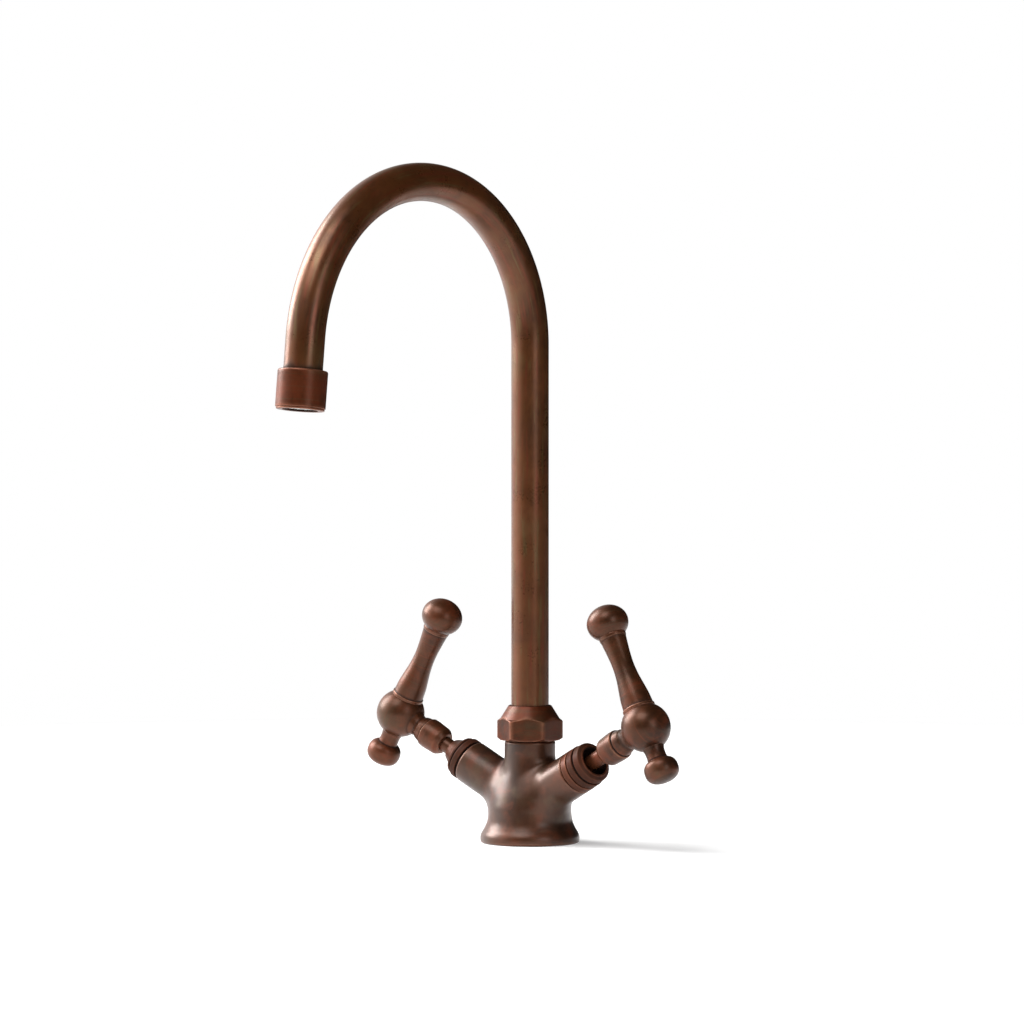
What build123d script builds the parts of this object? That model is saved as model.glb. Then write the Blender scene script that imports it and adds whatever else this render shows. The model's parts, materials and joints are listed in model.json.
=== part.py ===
from build123d import *
import math
import os

# Gooseneck basin faucet with two lever handles, in millimetres.
# Origin: centre of the foot's underside, on the deck. +Z up, spout towards -Y,
# hot handle on -X, cold handle on +X.

# Foot, shoulder and neck of the body casting
foot_radius = 25.2
foot_height = 3.6
foot_edge = 1.2
foot_round = 3.4
waist_turn_deg = 38.6
waist_hollow_radius = 15.8
shoulder_swell = 1.9
neck_radius = 12.9
neck_base_height = 34.0
neck_top_height = 51.6
neck_thread_radius = 12.2
neck_thread_length = 9.4
neck_bore_radius = 10.0
neck_bore_depth = 19.0
mixing_bore_radius = 6.0
mixing_bore_depth = 11.5

# Arms that carry the two valves
arm_root_height = 20.0
arm_rise_deg = 27.6
arm_sweep_deg = 5.3
arm_radius = 11.2
arm_end = 42.0
arm_fillet = 6.0
edge_break = 0.4
valve_bore_radius = 9.0
seat_bore_radius = 4.2
seat_bore_length = 4.5

# Underside: hose ports, fixing stud hole and gasket groove
port_radius = 4.5
port_depth = 11.0
port_spread = 8.6
port_forward = 4.5
inlet_radius = 2.6
outlet_radius = 1.5
outlet_offset = 7.4
stud_hole_radius = 3.4
stud_hole_depth = 12.0
stud_back = 9.6
gasket_radius = 21.0
gasket_width = 2.6
gasket_height = 2.2

# Coupling nut
nut_flats = 29.6
nut_corner_radius = 16.9
nut_lift = 0.6
nut_hex_height = 10.9
nut_cone_height = 6.8
nut_chamfer_width = 1.8
nut_chamfer_height = 1.15
nut_lip = 1.2
nut_turn_deg = 4.0

# Spout: one tube bent in two radii
tube_radius = 9.525
tube_wall = 1.2
rise_top = 252.5
first_bend = 79.5
first_bend_deg = 82.0
second_bend = 87.2
second_bend_deg = 91.8
tail_length = 15.5

# Spigot brazed on the tube's foot, and its slip ring
spigot_bore = 7.2
spigot_reach = 18.4
spigot_flange_radius = 11.6
spigot_flange_height = 3.2
tube_socket_floor = 0.4
seal_ring_section = 0.9
seal_ring_height = 2.0
seal_ring_first = 2.8
seal_ring_pitch = 6.4
seal_ring_count = 2
slip_ring_height = 0.8

# Outlet collar and aerator, measured along the outflow
collar_radius = 12.15
collar_length = 18.3
collar_edge = 1.6
collar_socket = 6.0
collar_waterway = 8.0
aerator_socket_depth = 8.0
aerator_socket_radius = 10.95
aerator_wall = 1.35
aerator_rim_radius = 11.7
aerator_rim_height = 1.0
aerator_lip = 0.95
aerator_washer_height = 1.5
aerator_washer_width = 1.9
insert_height = 4.2
insert_rim = 1.1
insert_hub = 2.2
insert_rib = 0.9
insert_spokes = 10
screen_thickness = 0.5
screen_pitch = 3.1
screen_hole = 2.0
screen_rim = 1.2

# Spacer ring and bonnets, measured along the arm
spacer_length = 4.2
bonnet_ring_length = 4.4
bonnet_groove_width = 0.7
bonnet_groove_depth = 0.9
bonnet_shoulder_radius = 10.9
bonnet_shoulder_length = 2.3
bonnet_neck_radius = 8.3
bonnet_neck_length = 3.2
bonnet_recess_radius = 6.9
bonnet_recess_depth = 3.6
bonnet_tail_length = 5.0

# Quarter-turn cartridge inside each arm
seat_seal_height = 2.0
seat_seal_radius = 5.8
sleeve_floor_height = 3.4
skirt_lift = 1.0
skirt_radius = 8.0
skirt_wall = 1.2
disc_height = 2.5
disc_window_inner = 1.4
disc_window_outer = 4.0
disc_window_deg = 80.0
ear_width = 2.4
ear_reach = 0.9
driver_height = 2.4
driver_rib_width = 2.0
driver_rib_height = 1.1
outlet_window_width = 4.6
outlet_window_height = 1.8
outlet_window_count = 4
sleeve_seal_section = 1.0
sleeve_seal_height = 1.7
sleeve_seal_inset = 0.8
spindle_radius = 4.0
spindle_end = 75.0
spindle_flat = 0.7
spindle_flat_start = 60.5
spindle_seal_section = 0.6
spindle_seal_height = 1.3
spindle_seal_lift = 0.9

# Handle: hub with a turned barrel, lever, knob and tail knob
hub_distance = 92.0
ball_radius = 12.4
barrel_start = 60.0
barrel_mouth = 5.6
barrel_radius = 7.8
barrel_chamfer = 2.3
barrel_end = 72.3
barrel_groove = 0.35
barrel_groove_inset = 1.3
barrel_groove_width = 0.6
barrel_neck_radius = 5.5
barrel_neck_position = 78.2
lever_seat_radius = 8.1
lever_bead_bulge = 0.2
lever_bead_height = 1.8
lever_foot_radius = 7.9
lever_waist_radius = 5.4
lever_waist_position = 33.0
lever_top_radius = 6.6
lever_top_position = 48.6
lever_lip_radius = 6.8
lever_lip_bulge = 0.25
lever_lip_height = 2.4
lever_stud_radius = 3.4
lever_stud_length = 5.0
knob_radius = 10.6
knob_half_height = 9.1
knob_position = 57.2
knob_stud_radius = 2.9
knob_stud_length = 6.0
tail_radius = 5.3
tail_waist = 0.35
tail_knob_radius = 8.7
tail_knob_half_height = 6.3
tail_knob_position = 23.2
tail_knob_fullness = 0.66
tail_flat = 0.5
tail_stud_radius = 2.9
tail_stud_length = 4.5
grub_radius = 1.75
grub_socket_flats = 1.7
grub_socket_depth = 1.6
grub_inset = 0.5
grub_position = 67.3

# Clearances
face_gap = 0.05
thread_gap = 0.05
turn_gap = 0.06
loose_gap = 0.25

# Handle length of a cubic curve that follows a quarter of an oval
quarter_bow = 0.5523

# Worked-out sizes
arm_rise = math.radians(arm_rise_deg)
arm_sweep = math.radians(arm_sweep_deg)
neck_thread_top = neck_top_height + neck_thread_length
neck_bore_bottom = neck_thread_top - neck_bore_depth
mixing_bore_bottom = neck_bore_bottom - mixing_bore_depth
nut_bottom = neck_top_height + nut_lift
nut_hex_top = nut_bottom + nut_hex_height
nut_top = nut_hex_top + nut_cone_height
spigot_bottom = neck_thread_top - spigot_reach
spigot_flange_bottom = neck_thread_top + face_gap
spigot_flange_top = spigot_flange_bottom + spigot_flange_height
slip_ring_bottom = spigot_flange_top + face_gap
slip_ring_top = slip_ring_bottom + slip_ring_height
tube_foot = spigot_flange_bottom + tube_socket_floor
spigot_radius = neck_bore_radius - turn_gap
ring_end = arm_end + bonnet_ring_length
shoulder_start = ring_end + bonnet_groove_width
shoulder_end = shoulder_start + bonnet_shoulder_length
bonnet_end = shoulder_end + bonnet_neck_length
sleeve_end = arm_end - bonnet_tail_length - face_gap
sleeve_floor = sleeve_end - sleeve_floor_height
driver_end = sleeve_floor - face_gap
driver_start = driver_end - driver_height
moving_disc_start = driver_start - face_gap - disc_height
fixed_disc_start = moving_disc_start - face_gap - disc_height
seat_depth = fixed_disc_start - seat_seal_height
seat_bore_bottom = seat_depth - seat_bore_length
skirt_bore = skirt_radius - skirt_wall
stem_bore = spindle_radius + turn_gap
aerator_bore = aerator_socket_radius - thread_gap - aerator_wall
washer_start = collar_length - aerator_socket_depth
housing_start = washer_start + aerator_washer_height
insert_start = collar_length - insert_height
lever_seat = math.sqrt(ball_radius**2 - lever_seat_radius**2)
tail_seat = math.sqrt(ball_radius**2 - tail_radius**2)
lever_end = lever_top_position + lever_lip_height


def turned(*edges):
    """Turn a closed outline of (radius, height) edges around the Z axis."""
    outline = Plane.XZ * make_face(edges)
    return revolve(outline, Axis.Z, 360)


def turned_polygon(*points):
    """Turn a closed polygon of (radius, height) points around the Z axis."""
    return turned(Polyline(*points, close=True))


def rod(radius, low, high):
    """A cylinder on the Z axis between two heights."""
    upright = (Align.CENTER, Align.CENTER, Align.MIN)
    return Pos(0, 0, low) * Cylinder(radius, high - low, align=upright)


def ring(outer, inner, low, high):
    """A plain ring on the Z axis between two heights."""
    return rod(outer, low, high) - rod(inner, low - 1, high + 1)


def oval_half(radius, half_height, fullness):
    """Right half of an oval face, from its lowest to its highest point."""
    bow_out = fullness * radius
    bow_up = fullness * half_height
    lower = Bezier((0, -half_height), (bow_out, -half_height), (radius, -bow_up), (radius, 0))
    upper = Bezier((radius, 0), (radius, bow_up), (bow_out, half_height), (0, half_height))
    return make_face([lower, upper, Line(upper @ 1, lower @ 0)])


def spheroid(radius, half_height, centre, fullness=quarter_bow):
    """A ball pressed flat along the Z axis, squarer where it is fuller."""
    outline = Plane.XZ * oval_half(radius, half_height, fullness)
    return Pos(0, 0, centre) * revolve(outline, Axis.Z, 360)


def drilled(start, end, radius):
    """A round hole along the line between two points."""
    path = Vector(*end) - Vector(*start)
    return Plane(origin=start, z_dir=path).location * rod(radius, 0, path.length)


def arm_direction(side):
    """Unit vector along an arm, side +1 for cold and -1 for hot."""
    level = math.cos(arm_rise)
    forward = level * math.sin(arm_sweep)
    return Vector(side * level * math.cos(arm_sweep), -forward, math.sin(arm_rise))


def arm_up(side):
    """Unit vector square to an arm, in the upright plane through it."""
    slope = math.sin(arm_rise)
    forward = slope * math.sin(arm_sweep)
    return Vector(-side * slope * math.cos(arm_sweep), forward, math.cos(arm_rise))


def on_arm(side, along, up=0):
    """Point at a distance along an arm and a height above its axis."""
    root = Vector(0, 0, arm_root_height)
    return root + arm_direction(side) * along + arm_up(side) * up


def arm_frame(side):
    """Arm coordinates: Z out along the arm, X up towards the lever's knob."""
    root = (0, 0, arm_root_height)
    return Plane(origin=root, x_dir=arm_up(side), z_dir=arm_direction(side)).location


def lever_frame(side):
    """Lever coordinates: origin in the hub's ball, Z up towards the knob."""
    centre = on_arm(side, hub_distance)
    return Plane(origin=centre, x_dir=arm_direction(side), z_dir=arm_up(side)).location


def tail_frame(side):
    """Tail coordinates: origin in the hub's ball, Z down towards the tail knob."""
    centre = on_arm(side, hub_distance)
    return Plane(origin=centre, x_dir=arm_direction(side), z_dir=-arm_up(side)).location


def spout_path():
    """Centre line of the spout tube, from its foot to the collar."""
    rise = Line((0, tube_foot), (0, rise_top))
    climb = JernArc(rise @ 1, rise % 1, first_bend, -first_bend_deg)
    fall = JernArc(climb @ 1, climb % 1, second_bend, -second_bend_deg)
    tail = Line(fall @ 1, fall @ 1 + (fall % 1) * (tail_length + collar_socket))
    side_view = Plane(origin=(0, 0, 0), x_dir=(0, -1, 0), z_dir=(-1, 0, 0))
    return side_view * Wire([rise, climb, fall, tail])


def outlet_frame():
    """Outlet coordinates: origin at the collar's top, Z along the outflow."""
    path = spout_path()
    outflow = path % 1
    top = path @ 1 - outflow * collar_socket
    return Plane(origin=top, x_dir=(1, 0, 0), z_dir=outflow).location


def body_core():
    """Foot, hollow waist, swelling shoulder and neck as one turned form."""
    rim = JernArc((foot_radius - foot_edge, 0), (1, 0), foot_edge, 90)
    side = Line(rim @ 1, (foot_radius, foot_height))
    shelf = JernArc(side @ 1, side % 1, foot_round, waist_turn_deg)
    hollow = JernArc(shelf @ 1, shelf % 1, waist_hollow_radius, -waist_turn_deg)
    waist = hollow @ 1
    shoulder_width = (waist.X + neck_radius) / 2 + shoulder_swell
    shoulder_height = (waist.Y + neck_base_height) / 2
    shoulder = ThreePointArc(
        waist,
        (shoulder_width, shoulder_height),
        (neck_radius, neck_base_height),
    )
    core = turned(
        Line((0, 0), rim @ 0),
        rim,
        side,
        shelf,
        hollow,
        shoulder,
        Line(shoulder @ 1, (neck_radius, neck_top_height)),
        Line((neck_radius, neck_top_height), (0, neck_top_height)),
        Line((0, neck_top_height), (0, 0)),
    )
    return Rot(0, 0, 90) * core


def arm_length(side):
    """The cold arm is cut shorter to leave room for its spacer ring."""
    if side > 0:
        return arm_end - spacer_length - face_gap
    return arm_end


def arm_solid(side):
    """One valve arm with its end edge broken."""
    end = arm_length(side)
    barrel = rod(arm_radius, 0, end)
    rim = barrel.edges().sort_by(Axis.Z)[-1]
    return arm_frame(side) * chamfer(rim, edge_break)


def valve_bore(side):
    """Bore for the cartridge, with the smaller seat bore below it."""
    wide = rod(valve_bore_radius, seat_depth, arm_end + 1)
    return arm_frame(side) * (wide + rod(seat_bore_radius, seat_bore_bottom, seat_depth + 1))


def waterways(side):
    """Inlet from the hose port to the seat, and outlet to the mixing bore."""
    port = (side * port_spread, -port_forward, port_depth - 1)
    inlet = drilled(port, on_arm(side, seat_bore_bottom + 1), inlet_radius)
    valve = on_arm(side, seat_depth + 1, outlet_offset)
    outlet = drilled(valve, (0, 0, mixing_bore_bottom + 2), outlet_radius)
    return inlet + outlet


def blend_arms(body):
    """Round the meeting of the arms with the shoulder, and the neck's root."""
    joins = [edge for edge in body.edges() if edge.geom_type == GeomType.BSPLINE]
    low = neck_base_height - face_gap
    high = neck_base_height + face_gap
    root = body.edges().filter_by(GeomType.CIRCLE).filter_by_position(Axis.Z, low, high)
    return fillet(joins + root, arm_fillet)


def body_casting():
    """The one-piece casting: foot, neck and two raised arms, bored for valves."""
    body = blend_arms(body_core() + arm_solid(-1) + arm_solid(1))
    body += rod(neck_thread_radius, neck_top_height, neck_thread_top)
    body -= rod(neck_bore_radius, neck_bore_bottom, neck_thread_top + 1)
    body -= rod(mixing_bore_radius, mixing_bore_bottom, neck_bore_bottom + 1)
    for side in (-1, 1):
        body -= valve_bore(side)
        body -= waterways(side)
        body -= Pos(side * port_spread, -port_forward, 0) * rod(port_radius, -1, port_depth)
    body -= Pos(0, stud_back, 0) * rod(stud_hole_radius, -1, stud_hole_depth)
    groove_outer = gasket_radius + gasket_width / 2
    body -= ring(groove_outer, groove_outer - gasket_width, -1, gasket_height)
    return body


def base_gasket():
    """Rubber ring in the groove of the underside, flush with the foot."""
    outer = gasket_radius + gasket_width / 2 - face_gap
    inner = gasket_radius - gasket_width / 2 + face_gap
    return ring(outer, inner, 0, gasket_height)


def spout_nut():
    """Hexagon coupling nut with a cone on top that closes on the tube."""
    hexagon = RegularPolygon(nut_flats / 2, 6, major_radius=False)
    prism = extrude(Rot(0, 0, nut_turn_deg) * hexagon, nut_top)
    hole = tube_radius + loose_gap
    cone_foot = nut_corner_radius - nut_chamfer_width
    envelope = turned_polygon(
        (0, nut_bottom),
        (cone_foot, nut_bottom),
        (nut_corner_radius, nut_bottom + nut_chamfer_height),
        (nut_corner_radius, nut_hex_top - nut_chamfer_height),
        (cone_foot, nut_hex_top),
        (hole + nut_lip, nut_top),
        (0, nut_top),
    )
    nut = prism & envelope
    nut -= rod(neck_thread_radius + thread_gap, nut_bottom - 1, slip_ring_top + face_gap)
    return nut - rod(hole, nut_bottom, nut_top + 1)


def spout_tube():
    """The gooseneck: a thin tube swept up, over and down to the collar."""
    section = Circle(tube_radius) - Circle(tube_radius - tube_wall)
    return sweep(Pos(0, 0, tube_foot) * section, spout_path())


def seal_ring_bottoms():
    """Heights of the seal rings on the spigot."""
    first = spigot_bottom + seal_ring_first
    return [first + index * seal_ring_pitch for index in range(seal_ring_count)]


def spout_spigot():
    """Turned foot of the spout: grooved plug, flange and tube socket."""
    spigot = rod(spigot_radius, spigot_bottom, spigot_flange_top)
    spigot += rod(spigot_flange_radius, spigot_flange_bottom, spigot_flange_top)
    spigot -= rod(spigot_bore, spigot_bottom - 1, spigot_flange_top + 1)
    spigot -= rod(tube_radius + face_gap, tube_foot, spigot_flange_top + 1)
    floor = spigot_radius - seal_ring_section
    for low in seal_ring_bottoms():
        spigot -= ring(spigot_radius + 1, floor, low, low + seal_ring_height)
    return spigot


def spigot_seal_rings():
    """Two rubber rings in the grooves of the spigot."""
    inner = spigot_radius - seal_ring_section + face_gap / 2
    outer = spigot_radius + turn_gap / 2
    rings = [
        ring(outer, inner, low + face_gap, low + seal_ring_height - face_gap)
        for low in seal_ring_bottoms()
    ]
    return Compound(children=rings)


def spout_slip_ring():
    """Thin plastic ring between the spigot's flange and the nut."""
    outer = neck_thread_radius - face_gap
    return ring(outer, tube_radius + face_gap, slip_ring_bottom, slip_ring_top)


def spout_collar():
    """Turned collar brazed on the tube's end, threaded for the aerator."""
    collar = rod(collar_radius, 0, collar_length)
    top = collar.edges().filter_by(GeomType.CIRCLE).sort_by(Axis.Z)[0]
    collar = fillet(top, collar_edge)
    bottom = collar.edges().filter_by(GeomType.CIRCLE).sort_by(Axis.Z)[-1]
    collar = chamfer(bottom, edge_break)
    collar -= rod(tube_radius + face_gap, -1, collar_socket + face_gap)
    collar -= rod(collar_waterway, 0, collar_length)
    collar -= rod(aerator_socket_radius, washer_start, collar_length + 1)
    return outlet_frame() * collar


def aerator_housing():
    """Threaded ring with a visible rim and a lip that holds the insert."""
    rim_end = collar_length + face_gap + aerator_rim_height
    housing = rod(aerator_socket_radius - thread_gap, housing_start, rim_end)
    housing += rod(aerator_rim_radius, collar_length + face_gap, rim_end)
    rim = housing.edges().filter_by(GeomType.CIRCLE).sort_by(Axis.Z)[-1]
    housing = chamfer(rim, edge_break)
    housing -= rod(aerator_bore, housing_start - 1, collar_length + face_gap)
    housing -= rod(aerator_bore - aerator_lip, housing_start, rim_end + 1)
    return outlet_frame() * housing


def aerator_insert():
    """Spoked flow insert: rim, hub and thin ribs between them."""
    outer = aerator_bore - face_gap
    insert = ring(outer, outer - insert_rim, insert_start, collar_length)
    insert += rod(insert_hub, insert_start, collar_length)
    reach = outer - insert_rim / 2
    centre_height = (insert_start + collar_length) / 2
    for index in range(insert_spokes):
        spoke = Pos(reach / 2, 0, centre_height) * Box(reach, insert_rib, insert_height)
        insert += Rot(0, 0, 360 * index / insert_spokes) * spoke
    return outlet_frame() * insert


def aerator_screen():
    """Thin strainer disc with a grid of square holes."""
    outer = aerator_bore - face_gap
    disc = Circle(outer)
    clear = outer - screen_rim
    steps = int(clear // screen_pitch)
    for row in range(-steps, steps + 1):
        for column in range(-steps, steps + 1):
            corner = math.hypot(abs(row), abs(column)) * screen_pitch + screen_hole * 0.7
            if corner < clear:
                hole = Pos(column * screen_pitch, row * screen_pitch)
                disc -= hole * Rectangle(screen_hole, screen_hole)
    low = insert_start - screen_thickness
    return outlet_frame() * extrude(Pos(0, 0, low) * disc, screen_thickness)


def aerator_washer():
    """Rubber washer between the collar's shoulder and the housing."""
    outer = aerator_socket_radius - thread_gap
    washer = ring(outer, outer - aerator_washer_width, washer_start, housing_start)
    return outlet_frame() * washer


def cold_spacer_ring():
    """Ring between the shorter cold arm and its bonnet."""
    low = arm_length(1) + face_gap
    spacer = ring(arm_radius, valve_bore_radius, low, arm_end)
    rims = spacer.edges().filter_by(GeomType.CIRCLE).sort_by(SortBy.RADIUS)[-2:]
    return arm_frame(1) * chamfer(rims, edge_break)


def bonnet(side):
    """Screwed-in bonnet: ring, groove, rounded shoulder and open neck."""
    tail_radius_outer = valve_bore_radius - thread_gap
    groove_floor = arm_radius - bonnet_groove_depth
    low = arm_end + face_gap
    shoulder_middle = (shoulder_start + shoulder_end) / 2
    turned_bonnet = turned(
        Polyline(
            (stem_bore, sleeve_end + face_gap),
            (tail_radius_outer, sleeve_end + face_gap),
            (tail_radius_outer, low),
            (arm_radius - edge_break, low),
            (arm_radius, low + edge_break),
            (arm_radius, ring_end - edge_break),
            (arm_radius - edge_break, ring_end),
            (groove_floor, ring_end),
            (groove_floor, shoulder_start),
            (bonnet_shoulder_radius, shoulder_start),
        ),
        ThreePointArc(
            (bonnet_shoulder_radius, shoulder_start),
            (bonnet_shoulder_radius - 0.55, shoulder_middle),
            (bonnet_neck_radius, shoulder_end),
        ),
        Polyline(
            (bonnet_neck_radius, shoulder_end),
            (bonnet_neck_radius, bonnet_end - edge_break),
            (bonnet_neck_radius - edge_break, bonnet_end),
            (bonnet_recess_radius, bonnet_end),
            (bonnet_recess_radius, bonnet_end - bonnet_recess_depth),
            (stem_bore, bonnet_end - bonnet_recess_depth),
            (stem_bore, sleeve_end + face_gap),
        ),
    )
    return arm_frame(side) * turned_bonnet


def sleeve_ears(width, height, low, reach):
    """Two opposite ears used for locking a disc or cutting its slots."""
    length = 2 * (skirt_bore + reach)
    bar = Pos(0, 0, low + height / 2) * Box(length, width, height)
    return bar - rod(skirt_bore - 1, low - 1, low + height + 1)


def cartridge_sleeve(side):
    """Brass sleeve: windowed skirt around the discs, head around the stem."""
    head_radius = valve_bore_radius - thread_gap
    low = seat_depth + skirt_lift
    sleeve = rod(skirt_radius, low, sleeve_floor) + rod(head_radius, sleeve_floor, sleeve_end)
    sleeve -= rod(skirt_bore, low - 1, sleeve_floor)
    sleeve -= rod(stem_bore, low, sleeve_end + 1)
    slot_height = fixed_disc_start + disc_height - low
    sleeve -= sleeve_ears(ear_width, slot_height, low, ear_reach + face_gap)
    groove_low = sleeve_floor + sleeve_seal_inset
    groove_floor = head_radius - sleeve_seal_section
    sleeve -= ring(head_radius + 1, groove_floor, groove_low, groove_low + sleeve_seal_height)
    window_height = driver_end - outlet_window_height / 2
    for index in range(outlet_window_count):
        reach = skirt_radius + 1
        cutter = Box(reach, outlet_window_width, outlet_window_height)
        turn = 360 * (index + 0.5) / outlet_window_count
        sleeve -= Rot(0, 0, turn) * Pos(reach / 2 + 2, 0, window_height) * cutter
    return arm_frame(side) * sleeve


def sleeve_seal(side):
    """Rubber ring between the sleeve's head and the arm's bore."""
    head_radius = valve_bore_radius - thread_gap
    inner = head_radius - sleeve_seal_section + face_gap / 2
    low = sleeve_floor + sleeve_seal_inset + face_gap
    high = low + sleeve_seal_height - 2 * face_gap
    return arm_frame(side) * ring(head_radius, inner, low, high)


def seat_seal(side):
    """Rubber seal between the arm's seat and the fixed disc."""
    return arm_frame(side) * ring(seat_seal_radius, seat_bore_radius, seat_depth, fixed_disc_start)


def disc_windows(low):
    """The two facing windows of a ceramic disc."""
    half = math.radians(disc_window_deg / 2)
    reach = 2 * disc_window_outer
    tip = (reach * math.cos(half), reach * math.sin(half))
    wedge = make_face(Polyline((0, 0), (tip[0], -tip[1]), tip, close=True))
    band = Circle(disc_window_outer) - Circle(disc_window_inner)
    window = extrude(Pos(0, 0, low - 1) * (wedge & band), disc_height + 2)
    return window + Rot(0, 0, 180) * window


def fixed_disc(side):
    """Ceramic disc held by two ears in the sleeve's slots."""
    low = fixed_disc_start
    disc = rod(skirt_bore - thread_gap, low, low + disc_height)
    disc += sleeve_ears(ear_width - 2 * face_gap, disc_height, low, ear_reach)
    return arm_frame(side) * (disc - disc_windows(low))


def driver_rib(width, height):
    """Rib across the driver, or the slot for it in the moving disc."""
    length = 2 * (skirt_bore - 1)
    low = moving_disc_start + disc_height - height
    return Pos(0, 0, low + height / 2) * Box(width, length, height)


def moving_disc(side):
    """Ceramic disc turned by the spindle to open and close the windows."""
    low = moving_disc_start
    disc = rod(skirt_bore - turn_gap, low, low + disc_height)
    disc -= Rot(0, 0, 90) * disc_windows(low)
    slot = driver_rib(driver_rib_width + 2 * face_gap, driver_rib_height + face_gap)
    disc -= slot
    return arm_frame(side) * disc


def spindle(side):
    """Stem with a driver at its foot and a flat where the hub grips it."""
    driver = rod(skirt_bore - 2 * turn_gap, driver_start, driver_end)
    driver += Pos(0, 0, face_gap) * driver_rib(driver_rib_width, driver_rib_height)
    stem = driver + rod(spindle_radius, driver_start, spindle_end)
    seal_low = sleeve_floor + spindle_seal_lift
    floor = spindle_radius - spindle_seal_section
    stem -= ring(spindle_radius + 1, floor, seal_low, seal_low + spindle_seal_height)
    flat_length = spindle_end - spindle_flat_start + 1
    depth = 2 * spindle_radius
    cutter = Box(depth, 2 * depth, flat_length)
    offset = spindle_radius - spindle_flat + depth / 2
    stem -= Pos(-offset, 0, spindle_flat_start + flat_length / 2) * cutter
    return arm_frame(side) * stem


def spindle_seal(side):
    """Rubber ring in the stem's groove, running in the sleeve's head."""
    inner = spindle_radius - spindle_seal_section + face_gap / 2
    outer = spindle_radius + turn_gap / 2
    low = sleeve_floor + spindle_seal_lift + face_gap
    high = low + spindle_seal_height - 2 * face_gap
    return arm_frame(side) * ring(outer, inner, low, high)


def barrel_form():
    """Turned barrel and neck of the hub, up to the ball."""
    full_start = barrel_start + barrel_chamfer
    first_groove = full_start + barrel_groove_inset
    last_groove = barrel_end - barrel_groove_inset - barrel_groove_width
    floor = barrel_radius - barrel_groove
    return turned(
        Polyline(
            (0, barrel_start),
            (barrel_mouth, barrel_start),
            (barrel_radius, full_start),
            (barrel_radius, first_groove),
            (floor, first_groove),
            (floor, first_groove + barrel_groove_width),
            (barrel_radius, first_groove + barrel_groove_width),
            (barrel_radius, last_groove),
            (floor, last_groove),
            (floor, last_groove + barrel_groove_width),
            (barrel_radius, last_groove + barrel_groove_width),
            (barrel_radius, barrel_end),
        ),
        Spline(
            (barrel_radius, barrel_end),
            (barrel_neck_radius, barrel_neck_position),
            (barrel_neck_radius + 0.9, hub_distance - ball_radius + 1.6),
            tangents=[(-0.2, 1), (0.8, 1)],
        ),
        Polyline(
            (barrel_neck_radius + 0.9, hub_distance - ball_radius + 1.6),
            (0, hub_distance - ball_radius + 1.6),
            (0, barrel_start),
        ),
    )


def handle_hub(side):
    """Ball and barrel in one piece, bored for stem, lever, tail and screw."""
    hub = barrel_form() + Pos(0, 0, hub_distance) * Sphere(ball_radius)
    bore = rod(spindle_radius + face_gap, barrel_start - 1, spindle_end + face_gap)
    depth = 2 * spindle_radius
    key = Box(depth, 2 * depth, spindle_end)
    offset = spindle_radius - spindle_flat + face_gap + depth / 2
    key_middle = spindle_flat_start + face_gap + spindle_end / 2
    bore -= Pos(-offset, 0, key_middle) * key
    hub -= bore
    centre = Pos(0, 0, hub_distance)
    reach = ball_radius + 1
    lever_hole = rod(lever_stud_radius + face_gap, lever_seat - lever_stud_length, reach)
    tail_hole = rod(tail_stud_radius + face_gap, tail_seat - tail_stud_length, reach)
    hub -= centre * Rot(0, 90, 0) * lever_hole
    hub -= centre * Rot(0, -90, 0) * tail_hole
    hub -= Pos(0, 0, grub_position) * Rot(0, -90, 0) * rod(grub_radius + face_gap, 0, ball_radius)
    return arm_frame(side) * hub


def grub_screw(side):
    """Socket screw in the barrel that clamps the stem's flat."""
    low = spindle_radius - spindle_flat
    high = barrel_radius - grub_inset
    screw = rod(grub_radius, low, high)
    socket = RegularPolygon(grub_socket_flats / 2, 6, major_radius=False)
    screw -= extrude(Pos(0, 0, high - grub_socket_depth) * socket, grub_socket_depth + 1)
    return arm_frame(side) * (Pos(0, 0, grub_position) * Rot(0, -90, 0) * screw)


def lever(side):
    """Waisted lever: bead on the ball, long hollow curve, lip under the knob."""
    bead_top = lever_seat + lever_bead_height
    bead_middle = lever_seat + lever_bead_height / 2
    lip_middle = lever_top_position + lever_lip_height / 2
    form = turned(
        Line((0, 0), (lever_seat_radius, lever_seat)),
        ThreePointArc(
            (lever_seat_radius, lever_seat),
            (lever_seat_radius + lever_bead_bulge, bead_middle),
            (lever_foot_radius, bead_top),
        ),
        Spline(
            (lever_foot_radius, bead_top),
            (lever_waist_radius, lever_waist_position),
            (lever_top_radius, lever_top_position),
            tangents=[(-0.12, 1), (0.1, 1)],
        ),
        Line((lever_top_radius, lever_top_position), (lever_lip_radius, lever_top_position)),
        ThreePointArc(
            (lever_lip_radius, lever_top_position),
            (lever_lip_radius + lever_lip_bulge, lip_middle),
            (lever_lip_radius, lever_end),
        ),
        Line((lever_lip_radius, lever_end), (0, lever_end)),
        Line((0, lever_end), (0, 0)),
    )
    form -= Sphere(ball_radius + face_gap)
    form += rod(lever_stud_radius, lever_seat - lever_stud_length + face_gap, bead_top)
    form -= spheroid(knob_radius + face_gap, knob_half_height + face_gap, knob_position)
    stud_bottom = knob_position - knob_half_height - knob_stud_length
    form -= rod(knob_stud_radius + face_gap, stud_bottom - face_gap, lever_end)
    return lever_frame(side) * form


def knob(side):
    """Flattened ball on top of the lever, with its stud."""
    stud_bottom = -knob_half_height - knob_stud_length
    stud_half = Polyline(
        (0, stud_bottom),
        (knob_stud_radius, stud_bottom),
        (knob_stud_radius, 0),
        (0, 0),
        close=True,
    )
    outline = oval_half(knob_radius, knob_half_height, quarter_bow) + make_face(stud_half)
    form = revolve(Plane.XZ * outline, Axis.Z, 360)
    return lever_frame(side) * (Pos(0, 0, knob_position) * form)


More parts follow.
